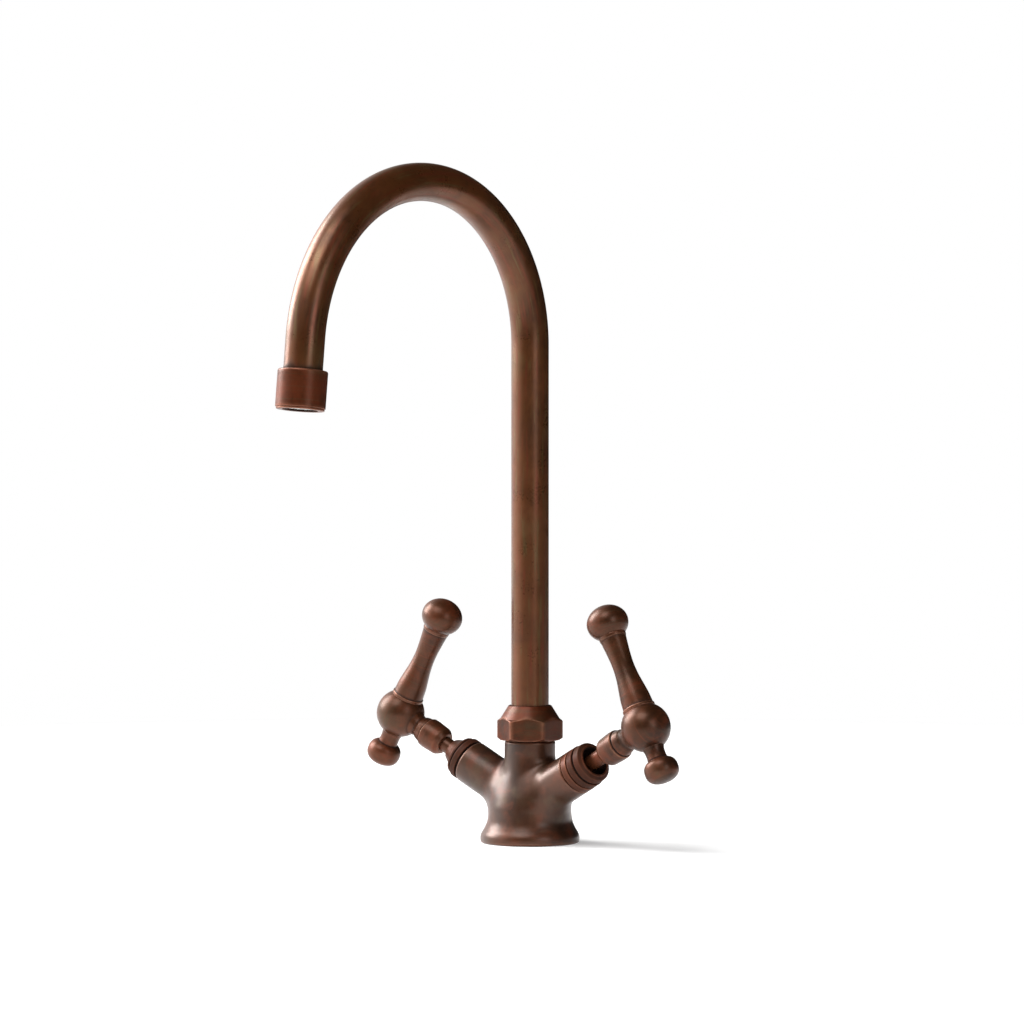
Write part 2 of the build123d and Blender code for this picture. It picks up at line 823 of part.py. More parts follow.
def tail_knob(side):
    """Short waisted stem and small flattened knob below the ball."""
    stem_end = tail_knob_position - tail_knob_half_height * 0.7
    stem_middle = (tail_seat + stem_end) / 2
    form = turned(
        Line((0, 0), (tail_radius, tail_seat)),
        ThreePointArc(
            (tail_radius, tail_seat),
            (tail_radius - tail_waist, stem_middle),
            (tail_radius, stem_end),
        ),
        Line((tail_radius, stem_end), (0, stem_end)),
        Line((0, stem_end), (0, 0)),
    )
    form -= Sphere(ball_radius + face_gap)
    form += rod(tail_stud_radius, tail_seat - tail_stud_length + face_gap, tail_knob_position)
    form += spheroid(
        tail_knob_radius,
        tail_knob_half_height,
        tail_knob_position,
        tail_knob_fullness,
    )
    flat = tail_knob_position + tail_knob_half_height - tail_flat
    form -= rod(tail_knob_radius, flat, flat + tail_knob_half_height)
    return tail_frame(side) * form


def handle_parts(name, side):
    """Every piece of one valve and its handle, by node name."""
    return {
        f"{name}_bonnet": bonnet(side),
        f"{name}_cartridge_sleeve": cartridge_sleeve(side),
        f"{name}_sleeve_seal": sleeve_seal(side),
        f"{name}_seat_seal": seat_seal(side),
        f"{name}_fixed_disc": fixed_disc(side),
        f"{name}_moving_disc": moving_disc(side),
        f"{name}_spindle": spindle(side),
        f"{name}_spindle_seal": spindle_seal(side),
        f"{name}_handle_hub": handle_hub(side),
        f"{name}_grub_screw": grub_screw(side),
        f"{name}_lever": lever(side),
        f"{name}_knob": knob(side),
        f"{name}_tail_knob": tail_knob(side),
    }


def all_parts():
    """Every node of the faucet, by name."""
    parts = {
        "body_casting": body_casting(),
        "base_gasket": base_gasket(),
        "spout_nut": spout_nut(),
        "spout_tube": spout_tube(),
        "spout_spigot": spout_spigot(),
        "spigot_seal_rings": spigot_seal_rings(),
        "spout_slip_ring": spout_slip_ring(),
        "spout_collar": spout_collar(),
        "aerator_housing": aerator_housing(),
        "aerator_insert": aerator_insert(),
        "aerator_screen": aerator_screen(),
        "aerator_washer": aerator_washer(),
        "cold_spacer_ring": cold_spacer_ring(),
    }
    parts.update(handle_parts("hot", -1))
    parts.update(handle_parts("cold", 1))
    return parts


os.makedirs("parts", exist_ok=True)
for node_name, shape in all_parts().items():
    export_step(shape, f"parts/{node_name}.step")
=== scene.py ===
import json
import logging
import math
from dataclasses import dataclass
from enum import Enum

import bmesh
import bpy
import numpy as np
from mathutils import Matrix


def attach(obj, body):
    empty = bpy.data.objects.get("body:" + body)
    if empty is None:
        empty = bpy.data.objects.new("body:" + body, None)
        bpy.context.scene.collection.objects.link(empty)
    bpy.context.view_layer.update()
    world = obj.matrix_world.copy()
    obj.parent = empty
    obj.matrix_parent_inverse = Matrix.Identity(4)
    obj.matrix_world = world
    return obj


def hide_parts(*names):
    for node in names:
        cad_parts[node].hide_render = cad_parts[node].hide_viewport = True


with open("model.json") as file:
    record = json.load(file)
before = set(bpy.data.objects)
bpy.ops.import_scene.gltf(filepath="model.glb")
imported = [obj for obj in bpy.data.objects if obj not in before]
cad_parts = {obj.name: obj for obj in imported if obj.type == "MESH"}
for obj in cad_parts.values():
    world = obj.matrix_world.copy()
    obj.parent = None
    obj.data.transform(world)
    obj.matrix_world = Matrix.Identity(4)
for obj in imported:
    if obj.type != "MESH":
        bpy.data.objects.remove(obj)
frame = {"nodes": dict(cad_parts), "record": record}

Array = np.ndarray
Triple = tuple[float, float, float]
Socket = bpy.types.NodeSocket

MM = 0.001
LOG = logging.getLogger("gooseneck_faucet")
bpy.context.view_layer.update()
ARC_POINTS = 7  # Points that draw one rounded corner
LARGEST_CUT = 0.48  # Most of a run that a rounded corner takes up
TINY = 1e-9  # Keeps lengths above nothing where they divide
MERGE_GAP = 1e-7  # Points closer than this are one, in metres
OUTLINE_STEP = 1.2  # Longest run of most outlines, in millimetres


class Side(Enum):
    """Which of the two valve arms a piece belongs to, as its sign along X."""

    HOT = -1
    COLD = 1

    @property
    def prefix(self) -> str:
        """Start of the node names on this side."""
        return self.name.lower()


class Grain(Enum):
    """Which way the polishing marks run on a piece."""

    AROUND = "around"
    ALONG = "along"


# Shapes as arrays


@dataclass(frozen=True)
class Placement:
    """A local frame: origin in millimetres, and unit axes for local X, Y and Z."""

    origin: Array
    x_axis: Array
    z_axis: Array

    def to_row(self, points: Array) -> Array:
        """Local millimetres to row metres: origin + x X + y (Z cross X) + z Z.

        Args:
            points: Local points, with the three coordinates in the last axis.

        Returns:
            The same grid of points in the row frame, in metres.
        """
        y_axis = np.cross(self.z_axis, self.x_axis)
        axes = np.stack([self.x_axis, y_axis, self.z_axis])
        return (points @ axes + self.origin) * MM


ACROSS, UPWARDS = np.array([1.0, 0.0, 0.0]), np.array([0.0, 0.0, 1.0])
UPRIGHT = Placement(np.zeros(3), ACROSS, UPWARDS)


def round_turn(count: int) -> Array:
    """Evenly spaced angles once round, without the last that meets the first."""
    return np.linspace(0, 2 * math.pi, count, endpoint=False)


def rounded_outline(corners: list[Triple], closed: bool) -> Array:
    """Outline of straight runs whose corners are round.

    At each corner B the two runs are cut back by radius * tan(turn / 2), to A and C, which
    the quadratic blend (1-t)^2 A + 2t(1-t) B + t^2 C joins.

    Args:
        corners: (radius from axis, height, corner radius) triples in millimetres.
        closed: Whether the last corner joins the first.

    Returns:
        An (n, 2) array of radius and height along the outline.
    """
    point = np.array([c[:2] for c in corners], float)
    bend = np.array([c[2] for c in corners], float)
    before = np.roll(point, 1, axis=0) - point
    after = np.roll(point, -1, axis=0) - point
    before_run = np.maximum(np.linalg.norm(before, axis=1), TINY)
    after_run = np.maximum(np.linalg.norm(after, axis=1), TINY)
    before = before / before_run[:, None]
    after = after / after_run[:, None]
    if not closed:
        bend[0] = bend[-1] = 0.0
    turn = math.pi - np.arccos(np.clip((before * after).sum(1), -1, 1))
    longest = LARGEST_CUT * np.minimum(before_run, after_run)
    cut = np.minimum(bend * np.tan(turn / 2), longest)
    t = np.linspace(0, 1, ARC_POINTS)[None, :, None]
    start = (point + before * cut[:, None])[:, None, :]
    end = (point + after * cut[:, None])[:, None, :]
    middle = point[:, None, :]
    arcs = (1 - t) ** 2 * start + 2 * t * (1 - t) * middle + t**2 * end
    keep = (cut > TINY)[:, None] | (np.arange(ARC_POINTS) == ARC_POINTS // 2)[None, :]
    return arcs[keep]


def subdivided(outline: Array, step: float, closed: bool) -> Array:
    """Outline with points added so that no run is longer than step.

    Each run from A to B is split evenly: A + (B - A) k / n with n = ceil(length / step).

    Args:
        outline: (n, 2) array of points.
        step: Longest run wanted, in millimetres.
        closed: Whether the last point joins the first.

    Returns:
        The outline with its extra points.
    """
    ahead = np.roll(outline, -1, axis=0) - outline
    if not closed:
        ahead[-1] = 0.0
    run = np.linalg.norm(ahead, axis=1)
    count = np.maximum(np.ceil(run / step).astype(int), 1)
    owner = np.repeat(np.arange(len(outline)), count)
    first = np.cumsum(count) - count
    share = (np.arange(count.sum()) - np.repeat(first, count)) / np.repeat(count, count)
    return outline[owner] + ahead[owner] * share[:, None]


def loop_outline(corners: list[Triple], step: float = OUTLINE_STEP) -> Array:
    """Closed outline with round corners, and no run longer than step."""
    return subdivided(rounded_outline(corners, closed=True), step, closed=True)


def oval_outline(
    radius: float,
    half_height: float,
    centre: float,
    start: float = 0.0,
    count: int = 44,
    power: float = 2.0,
) -> Array:
    """Half of an oval: (R sin(a)^(2/p), c - H cos(a)^(2/p)) up to a half turn.

    Args:
        radius: Widest radius R.
        half_height: Half of the height, H.
        centre: Height c of the middle.
        start: Angle a that it begins at.
        count: Number of points.
        power: Power p, which is 2 for an oval and more for a squarer shape.

    Returns:
        The outline from its start to its highest point.
    """
    angle = np.linspace(start, math.pi, count)
    share = 2 / power
    cosine = np.cos(angle)
    width = radius * np.maximum(np.sin(angle), 0) ** share
    rise = np.sign(cosine) * np.abs(cosine) ** share
    return np.stack([width, centre - half_height * rise], 1)


def curve_through(knots: Array, count: int) -> Array:
    """Smooth curve through a few points, as a Catmull-Rom spline.

    Between points B and C with neighbours A and D it is
    0.5 (2B + (C-A)t + (2A-5B+4C-D)t^2 + (3B-A-3C+D)t^3).

    Args:
        knots: (k, 2) array of points to pass through.
        count: Points wanted on each span.

    Returns:
        An (n, 2) array along the curve, ends included.
    """
    padded = np.vstack([2 * knots[0] - knots[1], knots, 2 * knots[-1] - knots[-2]])
    a, b, c, d = padded[:-3], padded[1:-2], padded[2:-1], padded[3:]
    t = np.linspace(0, 1, count, endpoint=False)[None, :, None]
    a, b, c, d = (v[:, None, :] for v in (a, b, c, d))
    curve = 2 * b + (c - a) * t + (2 * a - 5 * b + 4 * c - d) * t**2
    curve = 0.5 * (curve + (3 * b - a - 3 * c + d) * t**3)
    return np.vstack([curve.reshape(-1, 2), knots[-1]])


def outline_marks(outline: Array, closed: bool) -> tuple[Array, Array]:
    """Where handling rubs an outline bright, and where deposit and painted shade darken it.

    The turn between neighbouring runs over their mean length is the curvature per
    millimetre. Outward turns of 0.15 to 1.4 give rubbing from 0 to 1, inward turns of 0.1
    to 0.9 give deposit and painted shade from 0 to 1, and walls facing the axis get painted shade.

    Args:
        outline: (n, 2) array of points.
        closed: Whether the last point joins the first.

    Returns:
        Two (n,) arrays of shares: rubbing, and deposit with painted shade.
    """
    rub_from, rub_span, shade_from, shade_span = 0.15, 1.25, 0.1, 0.8
    inward_gain, inward_from = 3, 0.6
    back = outline - np.roll(outline, 1, axis=0)
    ahead = np.roll(outline, -1, axis=0) - outline
    if not closed:
        back[0], ahead[-1] = ahead[0], back[-1]
    turn = np.arctan2(back[:, 0] * ahead[:, 1] - back[:, 1] * ahead[:, 0], (back * ahead).sum(1))
    length = (np.linalg.norm(back, axis=1) + np.linalg.norm(ahead, axis=1)) / 2
    x, z = outline[:, 0], outline[:, 1]
    winding = np.sign((x * np.roll(z, -1) - np.roll(x, -1) * z).sum()) or 1.0
    bend = winding * turn / np.maximum(length, 1e-6)
    kernel = np.array([0.25, 0.5, 0.25])
    smooth = np.convolve(np.pad(bend, 1, mode="wrap" if closed else "edge"), kernel, "valid")
    heading = back + ahead
    outward = winding * heading[:, 1] / np.maximum(np.linalg.norm(heading, axis=1), TINY)
    # Painted shade: creases darken as deposit and shade, and walls that face the axis are painted
    # dark as shade.
    hollow = np.clip((-smooth - shade_from) / shade_span, 0, 1)
    facing = np.clip(-outward * inward_gain - inward_from, 0, 1)
    return np.clip((smooth - rub_from) / rub_span, 0, 1), np.maximum(hollow, facing)


@dataclass
class Surface:
    """A grid of points that becomes one closed mesh.

    Attributes:
        grid: (rows, columns, 3) local points in millimetres; columns go round.
        wear: (rows, columns) share of rubbed edge.
        dirt: (rows, columns) share of dark deposit and painted shade.
        grain: (rows, columns, 3) coordinates that the polishing marks follow.
        closed_rows: Whether the last row joins the first.
    """

    grid: Array
    wear: Array
    dirt: Array
    grain: Array
    closed_rows: bool

    def faces(self) -> Array:
        """Quads between neighbouring rows and columns, both wrapped where closed."""
        rows, columns = self.grid.shape[:2]
        i = np.arange(rows if self.closed_rows else rows - 1)[:, None]
        j = np.arange(columns)[None, :]
        i2, j2 = (i + 1) % rows, (j + 1) % columns
        quad = [i * columns + j, i2 * columns + j, i2 * columns + j2, i * columns + j2]
        return np.stack([np.broadcast_to(q, (i.size, j.size)) for q in quad], -1).reshape(-1, 4)


def lathe(
    outline: Array, closed: bool, patina: Array | float = 0.0, segments: int = 96
) -> Surface:
    """Turn an outline round the local Z axis: (r cos a, r sin a, h).

    Args:
        outline: (n, 2) array of radius and height in millimetres.
        closed: Whether the outline is a loop; otherwise it starts and ends on the axis.
        patina: Share of dark deposit that every point has at least, or one for all.
        segments: Points round the axis.

    Returns:
        The turned surface, with polishing marks that go around.
    """
    angle = round_turn(segments)
    radius, height = outline[:, 0][:, None], outline[:, 1][:, None]
    cosine, sine = np.cos(angle)[None, :], np.sin(angle)[None, :]
    grid = np.stack([radius * cosine, radius * sine, height + 0 * cosine], -1)
    # Painted shade: outline_marks darkens creases and walls facing the axis as shade, with the
    # patina as a floor.
    wear, dirt = outline_marks(outline, closed)
    wear, dirt = wear * (1 - patina), np.maximum(dirt, patina)
    wear, dirt = (np.repeat(value[:, None], segments, axis=1) for value in (wear, dirt))
    return Surface(grid, wear, dirt, grain_coordinates(grid, Grain.AROUND), closed)


def grain_coordinates(grid: Array, grain: Grain) -> Array:
    """Coordinates in which even noise looks like polishing marks.

    Marks that go around squeeze the angle to a small circle and stretch the height;
    marks that go along do the opposite.

    Args:
        grid: Local points in millimetres before any bending.
        grain: Which way the marks run.

    Returns:
        An array of the same shape.
    """
    radius = np.maximum(np.linalg.norm(grid[..., :2], axis=-1, keepdims=True), 1e-6)
    around = grid[..., :2] / radius
    if grain is Grain.AROUND:
        squeeze, stretch = 0.6, 3.0
        return np.concatenate([around * squeeze, grid[..., 2:] * stretch + radius * stretch], -1)
    stretch, squeeze = 14.0, 0.12
    return np.concatenate([around * stretch, grid[..., 2:] * squeeze], -1)


def add_object(name: str, data: bpy.types.ID) -> bpy.types.Object:
    """New object at the origin, linked to the scene.

    Args:
        name: Name of the object.
        data: Its mesh, light or camera.

    Returns:
        The object.
    """
    thing = bpy.data.objects.new(name, data)
    bpy.context.scene.collection.objects.link(thing)
    return thing


def make_piece(name: str, surface: Surface, place: Placement) -> bpy.types.Object:
    """Turn a surface into an object at the origin, with its place in its mesh.

    Args:
        name: Name of the new object.
        surface: The grid to build.
        place: Local frame that the grid is in.

    Returns:
        The new object, smooth shaded, with its poles merged and faces outwards.
    """
    points = place.to_row(surface.grid).reshape(-1, 3)
    quads = surface.faces()
    corner = points[quads]
    apex = corner - corner.reshape(-1, 3).mean(0)
    volume = sum(
        np.einsum("ij,ij->i", apex[:, 0], np.cross(apex[:, k], apex[:, k + 1])).sum()
        for k in (1, 2)
    )
    if volume < 0:
        quads = quads[:, ::-1]
    mesh = bpy.data.meshes.new(name)
    mesh.vertices.add(len(points))
    mesh.vertices.foreach_set("co", points.astype(np.float32).ravel())
    mesh.loops.add(quads.size)
    mesh.loops.foreach_set("vertex_index", quads.astype(np.int32).ravel())
    mesh.polygons.add(len(quads))
    mesh.polygons.foreach_set("loop_start", np.arange(0, quads.size, 4, dtype=np.int32))
    mesh.update(calc_edges=True)
    write_marks(mesh, surface.wear, surface.dirt, surface.grain)
    merge_poles(mesh)
    smooth_shade(mesh)
    return add_object(name, mesh)


def smooth_shade(mesh: bpy.types.Mesh) -> None:
    """Shade every face of a mesh smooth."""
    mesh.polygons.foreach_set("use_smooth", np.ones(len(mesh.polygons), bool))


def write_marks(mesh: bpy.types.Mesh, wear: Array, dirt: Array, grain: Array) -> None:
    """Store what the finishes read at each point.

    Args:
        mesh: The mesh to write to.
        wear: Share of rubbed edge at each point.
        dirt: Share of dark deposit and painted shade at each point.
        grain: Coordinates that the polishing marks follow.
    """
    for name, values in (("wear", wear), ("dirt", dirt)):
        layer = mesh.attributes.new(name, "FLOAT", "POINT")
        layer.data.foreach_set("value", values.astype(np.float32).ravel())
    layer = mesh.attributes.new("grain", "FLOAT_VECTOR", "POINT")
    layer.data.foreach_set("vector", grain.astype(np.float32).ravel())


def merge_poles(mesh: bpy.types.Mesh) -> None:
    """Merge the points that fall together where a turned outline meets its axis.

    Args:
        mesh: The mesh to clean in place.
    """
    work = bmesh.new()
    work.from_mesh(mesh)
    bmesh.ops.remove_doubles(work, verts=work.verts, dist=MERGE_GAP)
    bmesh.ops.dissolve_degenerate(work, dist=MERGE_GAP / 10, edges=work.edges)
    work.to_mesh(mesh)
    work.free()
    mesh.validate()


# Finishes


# Dark colour of deposit, also painted into creases, grooves, bores and inner walls as shade
SOOT_AND_SHADE = (0.012, 0.009, 0.008)
WHITE = (1.0, 1.0, 1.0, 1.0)
METAL_SHARE = 0.55  # How metallic clean copper is under its patina
SHINE = 0.4  # Specular level and coat of clean copper at a gloss of 1
SOOT_AND_SHADE_SHARE = 0.9  # How far full deposit and painted shade turn the colour to soot
SOOT_AND_SHADE_ROUGHNESS = 0.35  # Roughness that full deposit and painted shade add
MOTTLE = 260.0  # Fineness of a plain finish's mottling, per metre


class NodeSheet:
    """The node tree of a material or a world, with short methods for the nodes used here."""

    def __init__(self, owner: bpy.types.Material | bpy.types.World) -> None:
        """Open the tree.

        Args:
            owner: The new material or world.
        """
        owner.use_nodes = True
        self.owner = owner
        self.tree = owner.node_tree
        self.shader = self.tree.nodes.get("Principled BSDF")

    def feed(self, node: bpy.types.Node, inputs: dict[str | int, object]) -> None:
        """Link or set some inputs of a node.

        Args:
            node: The node.
            inputs: A socket to link or a value to set, by the input's name or number.
        """
        for name, value in inputs.items():
            if isinstance(value, Socket):
                self.tree.links.new(value, node.inputs[name])
            else:
                node.inputs[name].default_value = value

    def add(self, kind: str, inputs: dict[str | int, object] | None = None) -> bpy.types.Node:
        """Add a node.

        Args:
            kind: Its type, without the ShaderNode in front.
            inputs: What to feed it.

        Returns:
            The new node.
        """
        node = self.tree.nodes.new(f"ShaderNode{kind}")
        self.feed(node, inputs or {})
        return node

    def attribute(self, name: str, output: str) -> Socket:
        """Value that the mesh carries at each point, by its name and the output's."""
        node = self.add("Attribute")
        node.attribute_name = name
        return node.outputs[output]

    def noise(
        self, place: Socket, scale: float, detail: float, roughness: float, distortion: float = 0.0
    ) -> Socket:
        """Cloudy noise, mostly from 0.3 to 0.7, with detail finer layers of weight roughness."""
        inputs = {"Vector": place, "Scale": scale, "Detail": detail, "Roughness": roughness}
        return self.add("TexNoise", {**inputs, "Distortion": distortion}).outputs["Fac"]

    def span(
        self, value: Socket, low: float, high: float, out_low: float = 0.0, out_high: float = 1.0
    ) -> Socket:
        """Stretch a value from one range to another, clamped.

        Args:
            value: The value to stretch.
            low: Input that gives out_low.
            high: Input that gives out_high.
            out_low: Lowest result.
            out_high: Highest result.

        Returns:
            The stretched value.
        """
        node = self.add("MapRange")
        node.interpolation_type = "SMOOTHSTEP"
        self.feed(node, {"Value": value, "From Min": low, "From Max": high})
        self.feed(node, {"To Min": out_low, "To Max": out_high})
        return node.outputs["Result"]

    def arithmetic(self, operation: str, one: object, two: object) -> Socket:
        """Join two values, each a socket or a number.

        Args:
            operation: Name of the operation.
            one: First value.
            two: Second value.

        Returns:
            The result.
        """
        node = self.add("Math", {0: one, 1: two})
        node.operation = operation
        return node.outputs["Value"]

    def product(self, one: object, two: object) -> Socket:
        """One value times another."""
        return self.arithmetic("MULTIPLY", one, two)

    def sum(self, one: object, two: object) -> Socket:
        """One value plus another."""
        return self.arithmetic("ADD", one, two)

    def mix(self, share: Socket, one: Socket | Triple, two: Socket | Triple) -> Socket:
        """Blend two colours.

        Args:
            share: 0 for the first colour, 1 for the second.
            one: First colour.
            two: Second colour.

        Returns:
            The blended colour.
        """
        node = self.add("Mix")
        node.data_type = "RGBA"
        colours = [(*c, 1.0) if isinstance(c, tuple) else c for c in (one, two)]
        self.feed(node, {0: share, 6: colours[0], 7: colours[1]})
        return node.outputs[2]

    def bump(self, height: Socket, strength: float, distance: float) -> None:
        """Turn a height into shading relief, distance metres deep for a height of 1."""
        inputs = {"Strength": strength, "Distance": distance, "Height": height}
        self.feed(self.shader, {"Normal": self.add("Bump", inputs).outputs["Normal"]})


@dataclass(frozen=True)
class AgedCopper:
    """Satin aged copper: brown patina over red copper, rubbed bright on its edges.

    Attributes:
        dark: Colour of the deepest patina.
        brown: Colour of most of the surface.
        red: Colour where the copper shows through.
        olive: Colour of the greenish brown clouds.
        bright: Colour of rubbed edges.
        red_share: How much of the surface turns red, from 0 to 1.
        roughness: Middle of the roughness range.
        edge: Strength of the rubbed edges.
        streaks: Strength of the red and olive streaks along the polishing marks.
        gloss: Strength of the clear shine over the patina.
    """

    dark: Triple = (0.022, 0.010, 0.005)
    brown: Triple = (0.080, 0.025, 0.008)
    red: Triple = (0.150, 0.034, 0.011)
    olive: Triple = (0.074, 0.046, 0.021)
    bright: Triple = (0.400, 0.170, 0.100)
    red_share: float = 0.45
    roughness: float = 0.42
    edge: float = 0.5
    streaks: float = 0.4
    gloss: float = 1.0

    def build(self, name: str) -> bpy.types.Material:
        """Make the node material, as layers of colour over the dark patina.

        Args:
            name: Name of the material.

        Returns:
            The finished material.
        """
        sheet = NodeSheet(bpy.data.materials.new(name))
        place = sheet.add("TexCoord").outputs["Object"]
        moved = sheet.add("Mapping", {"Vector": place, "Location": (0.31, 0.62, -0.31)}).outputs[0]
        grain = sheet.attribute("grain", "Vector")
        wear, dirt = sheet.attribute("wear", "Fac"), sheet.attribute("dirt", "Fac")
        cloud = sheet.noise(place, scale=24.0, detail=5.0, roughness=0.62, distortion=0.6)
        patch = sheet.noise(place, scale=75.0, detail=6.0, roughness=0.65, distortion=0.3)
        speck = sheet.noise(place, scale=620.0, detail=4.0, roughness=0.7)
        marks = sheet.noise(grain, scale=1.0, detail=3.0, roughness=0.6)
        green = sheet.noise(moved, scale=38.0, detail=4.0, roughness=0.5)
        streak = sheet.noise(grain, scale=0.35, detail=3.0, roughness=0.5)
        rubbed = sheet.product(wear, sheet.span(patch, 0.25, 0.60))
        red_low = 0.78 - 0.5 * self.red_share
        layers = [
            (sheet.span(cloud, 0.24, 0.62), self.brown),
            (sheet.span(patch, red_low - 0.06, red_low + 0.28), self.red),
            (sheet.product(sheet.span(green, 0.52, 0.75), 0.7), self.olive),
            (sheet.product(sheet.span(streak, 0.54, 0.72), self.streaks), self.red),
            (sheet.product(sheet.span(streak, 0.46, 0.30), self.streaks), self.olive),
            (sheet.product(rubbed, self.edge), self.bright),
            # Painted shade: this layer turns creases, grooves, bores and inner walls to soot as
            # shade, besides real deposit.
            (sheet.product(dirt, SOOT_AND_SHADE_SHARE), SOOT_AND_SHADE),
        ]
        colour = self.dark
        for share, layer in layers:
            colour = sheet.mix(share, colour, layer)
        blotch = sheet.sum(sheet.product(patch, 0.7), sheet.product(speck, 0.3))
        sheen = sheet.span(blotch, 0.3, 0.7)
        rough = sheet.span(sheen, 0.0, 1.0, self.roughness - 0.08, self.roughness + 0.10)
        height = sheet.sum(sheet.product(speck, 0.5), sheet.product(marks, 0.5))
        sheet.bump(height, strength=0.12, distance=0.00012)
        shine = SHINE * self.gloss
        # Deposit and painted shade also take away the metal, the specular shine and the coat.
        inputs = {
            "Base Color": colour,
            "Roughness": sheet.sum(rough, sheet.product(dirt, SOOT_AND_SHADE_ROUGHNESS)),
            "Metallic": sheet.span(dirt, 0.0, 1.0, METAL_SHARE, 0.0),
            "Specular IOR Level": sheet.span(dirt, 0.0, 1.0, shine, 0.05),
            "Coat Weight": sheet.span(dirt, 0.0, 1.0, shine, 0.0),
            "Coat Roughness": 0.30,
        }
        sheet.feed(sheet.shader, inputs)
        return sheet.owner


@dataclass(frozen=True)
class PlainFinish:
    """A material of one stuff, with faint mottling.

    Attributes:
        light: Lighter of the two colours.
        deep: Darker of the two colours.
        metallic: 1 for metal, 0 for the rest.
        roughness: Middle of the roughness range.
    """

    light: Triple
    deep: Triple
    metallic: float
    roughness: float

    def build(self, name: str) -> bpy.types.Material:
        """Make the node material.

        Args:
            name: Name of the material.

        Returns:
            The finished material.
        """
        sheet = NodeSheet(bpy.data.materials.new(name))
        place = sheet.add("TexCoord").outputs["Object"]
        cloud = sheet.noise(place, scale=MOTTLE, detail=5.0, roughness=0.6)
        fine = sheet.noise(place, scale=MOTTLE * 6, detail=3.0, roughness=0.6)
        colour = sheet.mix(sheet.span(cloud, 0.3, 0.7), self.deep, self.light)
        rough = sheet.span(fine, 0.3, 0.7, self.roughness - 0.07, self.roughness + 0.07)
        sheet.bump(fine, strength=0.2, distance=0.05 * MM)
        inputs = {"Base Color": colour, "Roughness": rough, "Metallic": self.metallic}
        sheet.feed(sheet.shader, inputs)
        return sheet.owner


FINISHES = {
    "aged_copper_casting": AgedCopper(red_share=0.35),
    "aged_copper_tube": AgedCopper(
        dark=(0.055, 0.019, 0.006),
        brown=(0.140, 0.044, 0.011),
        olive=(0.120, 0.064, 0.021),
        red_share=0.25,
        roughness=0.34,
        streaks=0.9,
        gloss=0.8,
    ),
    "aged_copper_rings": AgedCopper(
        brown=(0.082, 0.021, 0.006), red=(0.130, 0.027, 0.008), red_share=0.75, gloss=0.4
    ),
    "aged_copper_handles": AgedCopper(red_share=0.6, gloss=0.6),
    "bare_brass": PlainFinish((0.80, 0.62, 0.34), (0.62, 0.46, 0.22), 1.0, 0.3),
    "black_rubber": PlainFinish((0.035, 0.035, 0.036), (0.015, 0.015, 0.015), 0.0, 0.7),
    "white_ceramic": PlainFinish((0.92, 0.91, 0.88), (0.84, 0.83, 0.80), 0.0, 0.35),
    "white_nylon": PlainFinish((0.84, 0.84, 0.81), (0.72, 0.72, 0.69), 0.0, 0.45),
    "stainless_mesh": PlainFinish((0.60, 0.60, 0.59), (0.40, 0.40, 0.40), 1.0, 0.35),
    "dark_steel": PlainFinish((0.12, 0.11, 0.11), (0.05, 0.05, 0.05), 1.0, 0.45),
}


@dataclass(frozen=True)
class Role:
    """What a piece stands for.

    Attributes:
        body: CAD body it rides on.
        slot: Name of its finish.
        node: CAD node it replaces.
    """

    body: str
    slot: str
    node: str


class Workshop:
    """Adds finished pieces to the scene and reports them."""

    def __init__(self) -> None:
        """Build every finish once, by the record's slot name."""
        self.materials = {name: finish.build(name) for name, finish in FINISHES.items()}

    def finish(self, piece: bpy.types.Object, role: Role) -> None:
        """Dress a piece and let it stand for a CAD node.

        Args:
            piece: The piece.
            role: What it stands for.
        """
        piece.data.materials.clear()
        piece.data.materials.append(self.materials[role.slot])
        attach(piece, role.body)
        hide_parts(role.node)
        LOG.info("%s: %d faces, rides on %s", piece.name, len(piece.data.polygons), role.body)

    def dress_cad_nodes(self) -> None:
        """Give every CAD node the finish that the record names for it."""
        for entry in frame["record"]["subparts"]:
            for holder in frame["nodes"][entry["node"]].material_slots:
                holder.material = self.materials[entry["material_slot"]]
            LOG.info("%s: dressed in %s", entry["node"], entry["material_slot"])


# Sub-assemblies of the faucet


Shape = tuple[str, Surface, Placement, Role]


class Assembly:
    """Some pieces of the faucet that are made together."""

    def shapes(self) -> list[Shape]:
        """Name, surface, local frame and role of each piece."""
        raise NotImplementedError

    def build(self, shop: Workshop) -> None:
        """Make and dress every piece in the shop."""
        for name, surface, place, role in self.shapes():
            shop.finish(make_piece(name, surface, place), role)


@dataclass
class Arm:
    """Where a valve arm lies, and the frames along it.

    Attributes:
        side: Hot or cold.
        root_height: Height where the arms' axes meet, in millimetres.
        rise_deg: Slope of the arm above the deck.
        sweep_deg: How far the arm is swept forward.
    """

    side: Side
    root_height: float = 20.0
    rise_deg: float = 27.6
    sweep_deg: float = 5.3

    def swept(self, level: float, height: float) -> Array:
        """Vector with a level part towards the arm's side, and a height."""
        sweep = math.radians(self.sweep_deg)
        side = self.side.value
        return np.array([side * level * math.cos(sweep), -level * math.sin(sweep), height])

    @property
    def direction(self) -> Array:
        """Unit vector outwards along the arm."""
        rise = math.radians(self.rise_deg)
        return self.swept(math.cos(rise), math.sin(rise))

    @property
    def up(self) -> Array:
        """Unit vector square to the arm, in the upright plane through it."""
        rise = math.radians(self.rise_deg)
        return self.swept(-math.sin(rise), math.cos(rise))

    def point(self, along: float, up: float = 0.0) -> Array:
        """Point at a distance along the arm and a height above its axis."""
        return self.root_height * UPWARDS + along * self.direction + up * self.up

    def along(self) -> Placement:
        """Frame with Z out along the arm and X up."""
        return Placement(self.point(0.0), self.up, self.direction)

    def square(self, distance: float, sign: int) -> Placement:
        """Frame at a distance along the arm, with Z up (1) or down (-1) square to it."""
        return Placement(self.point(distance), self.direction, sign * self.up)


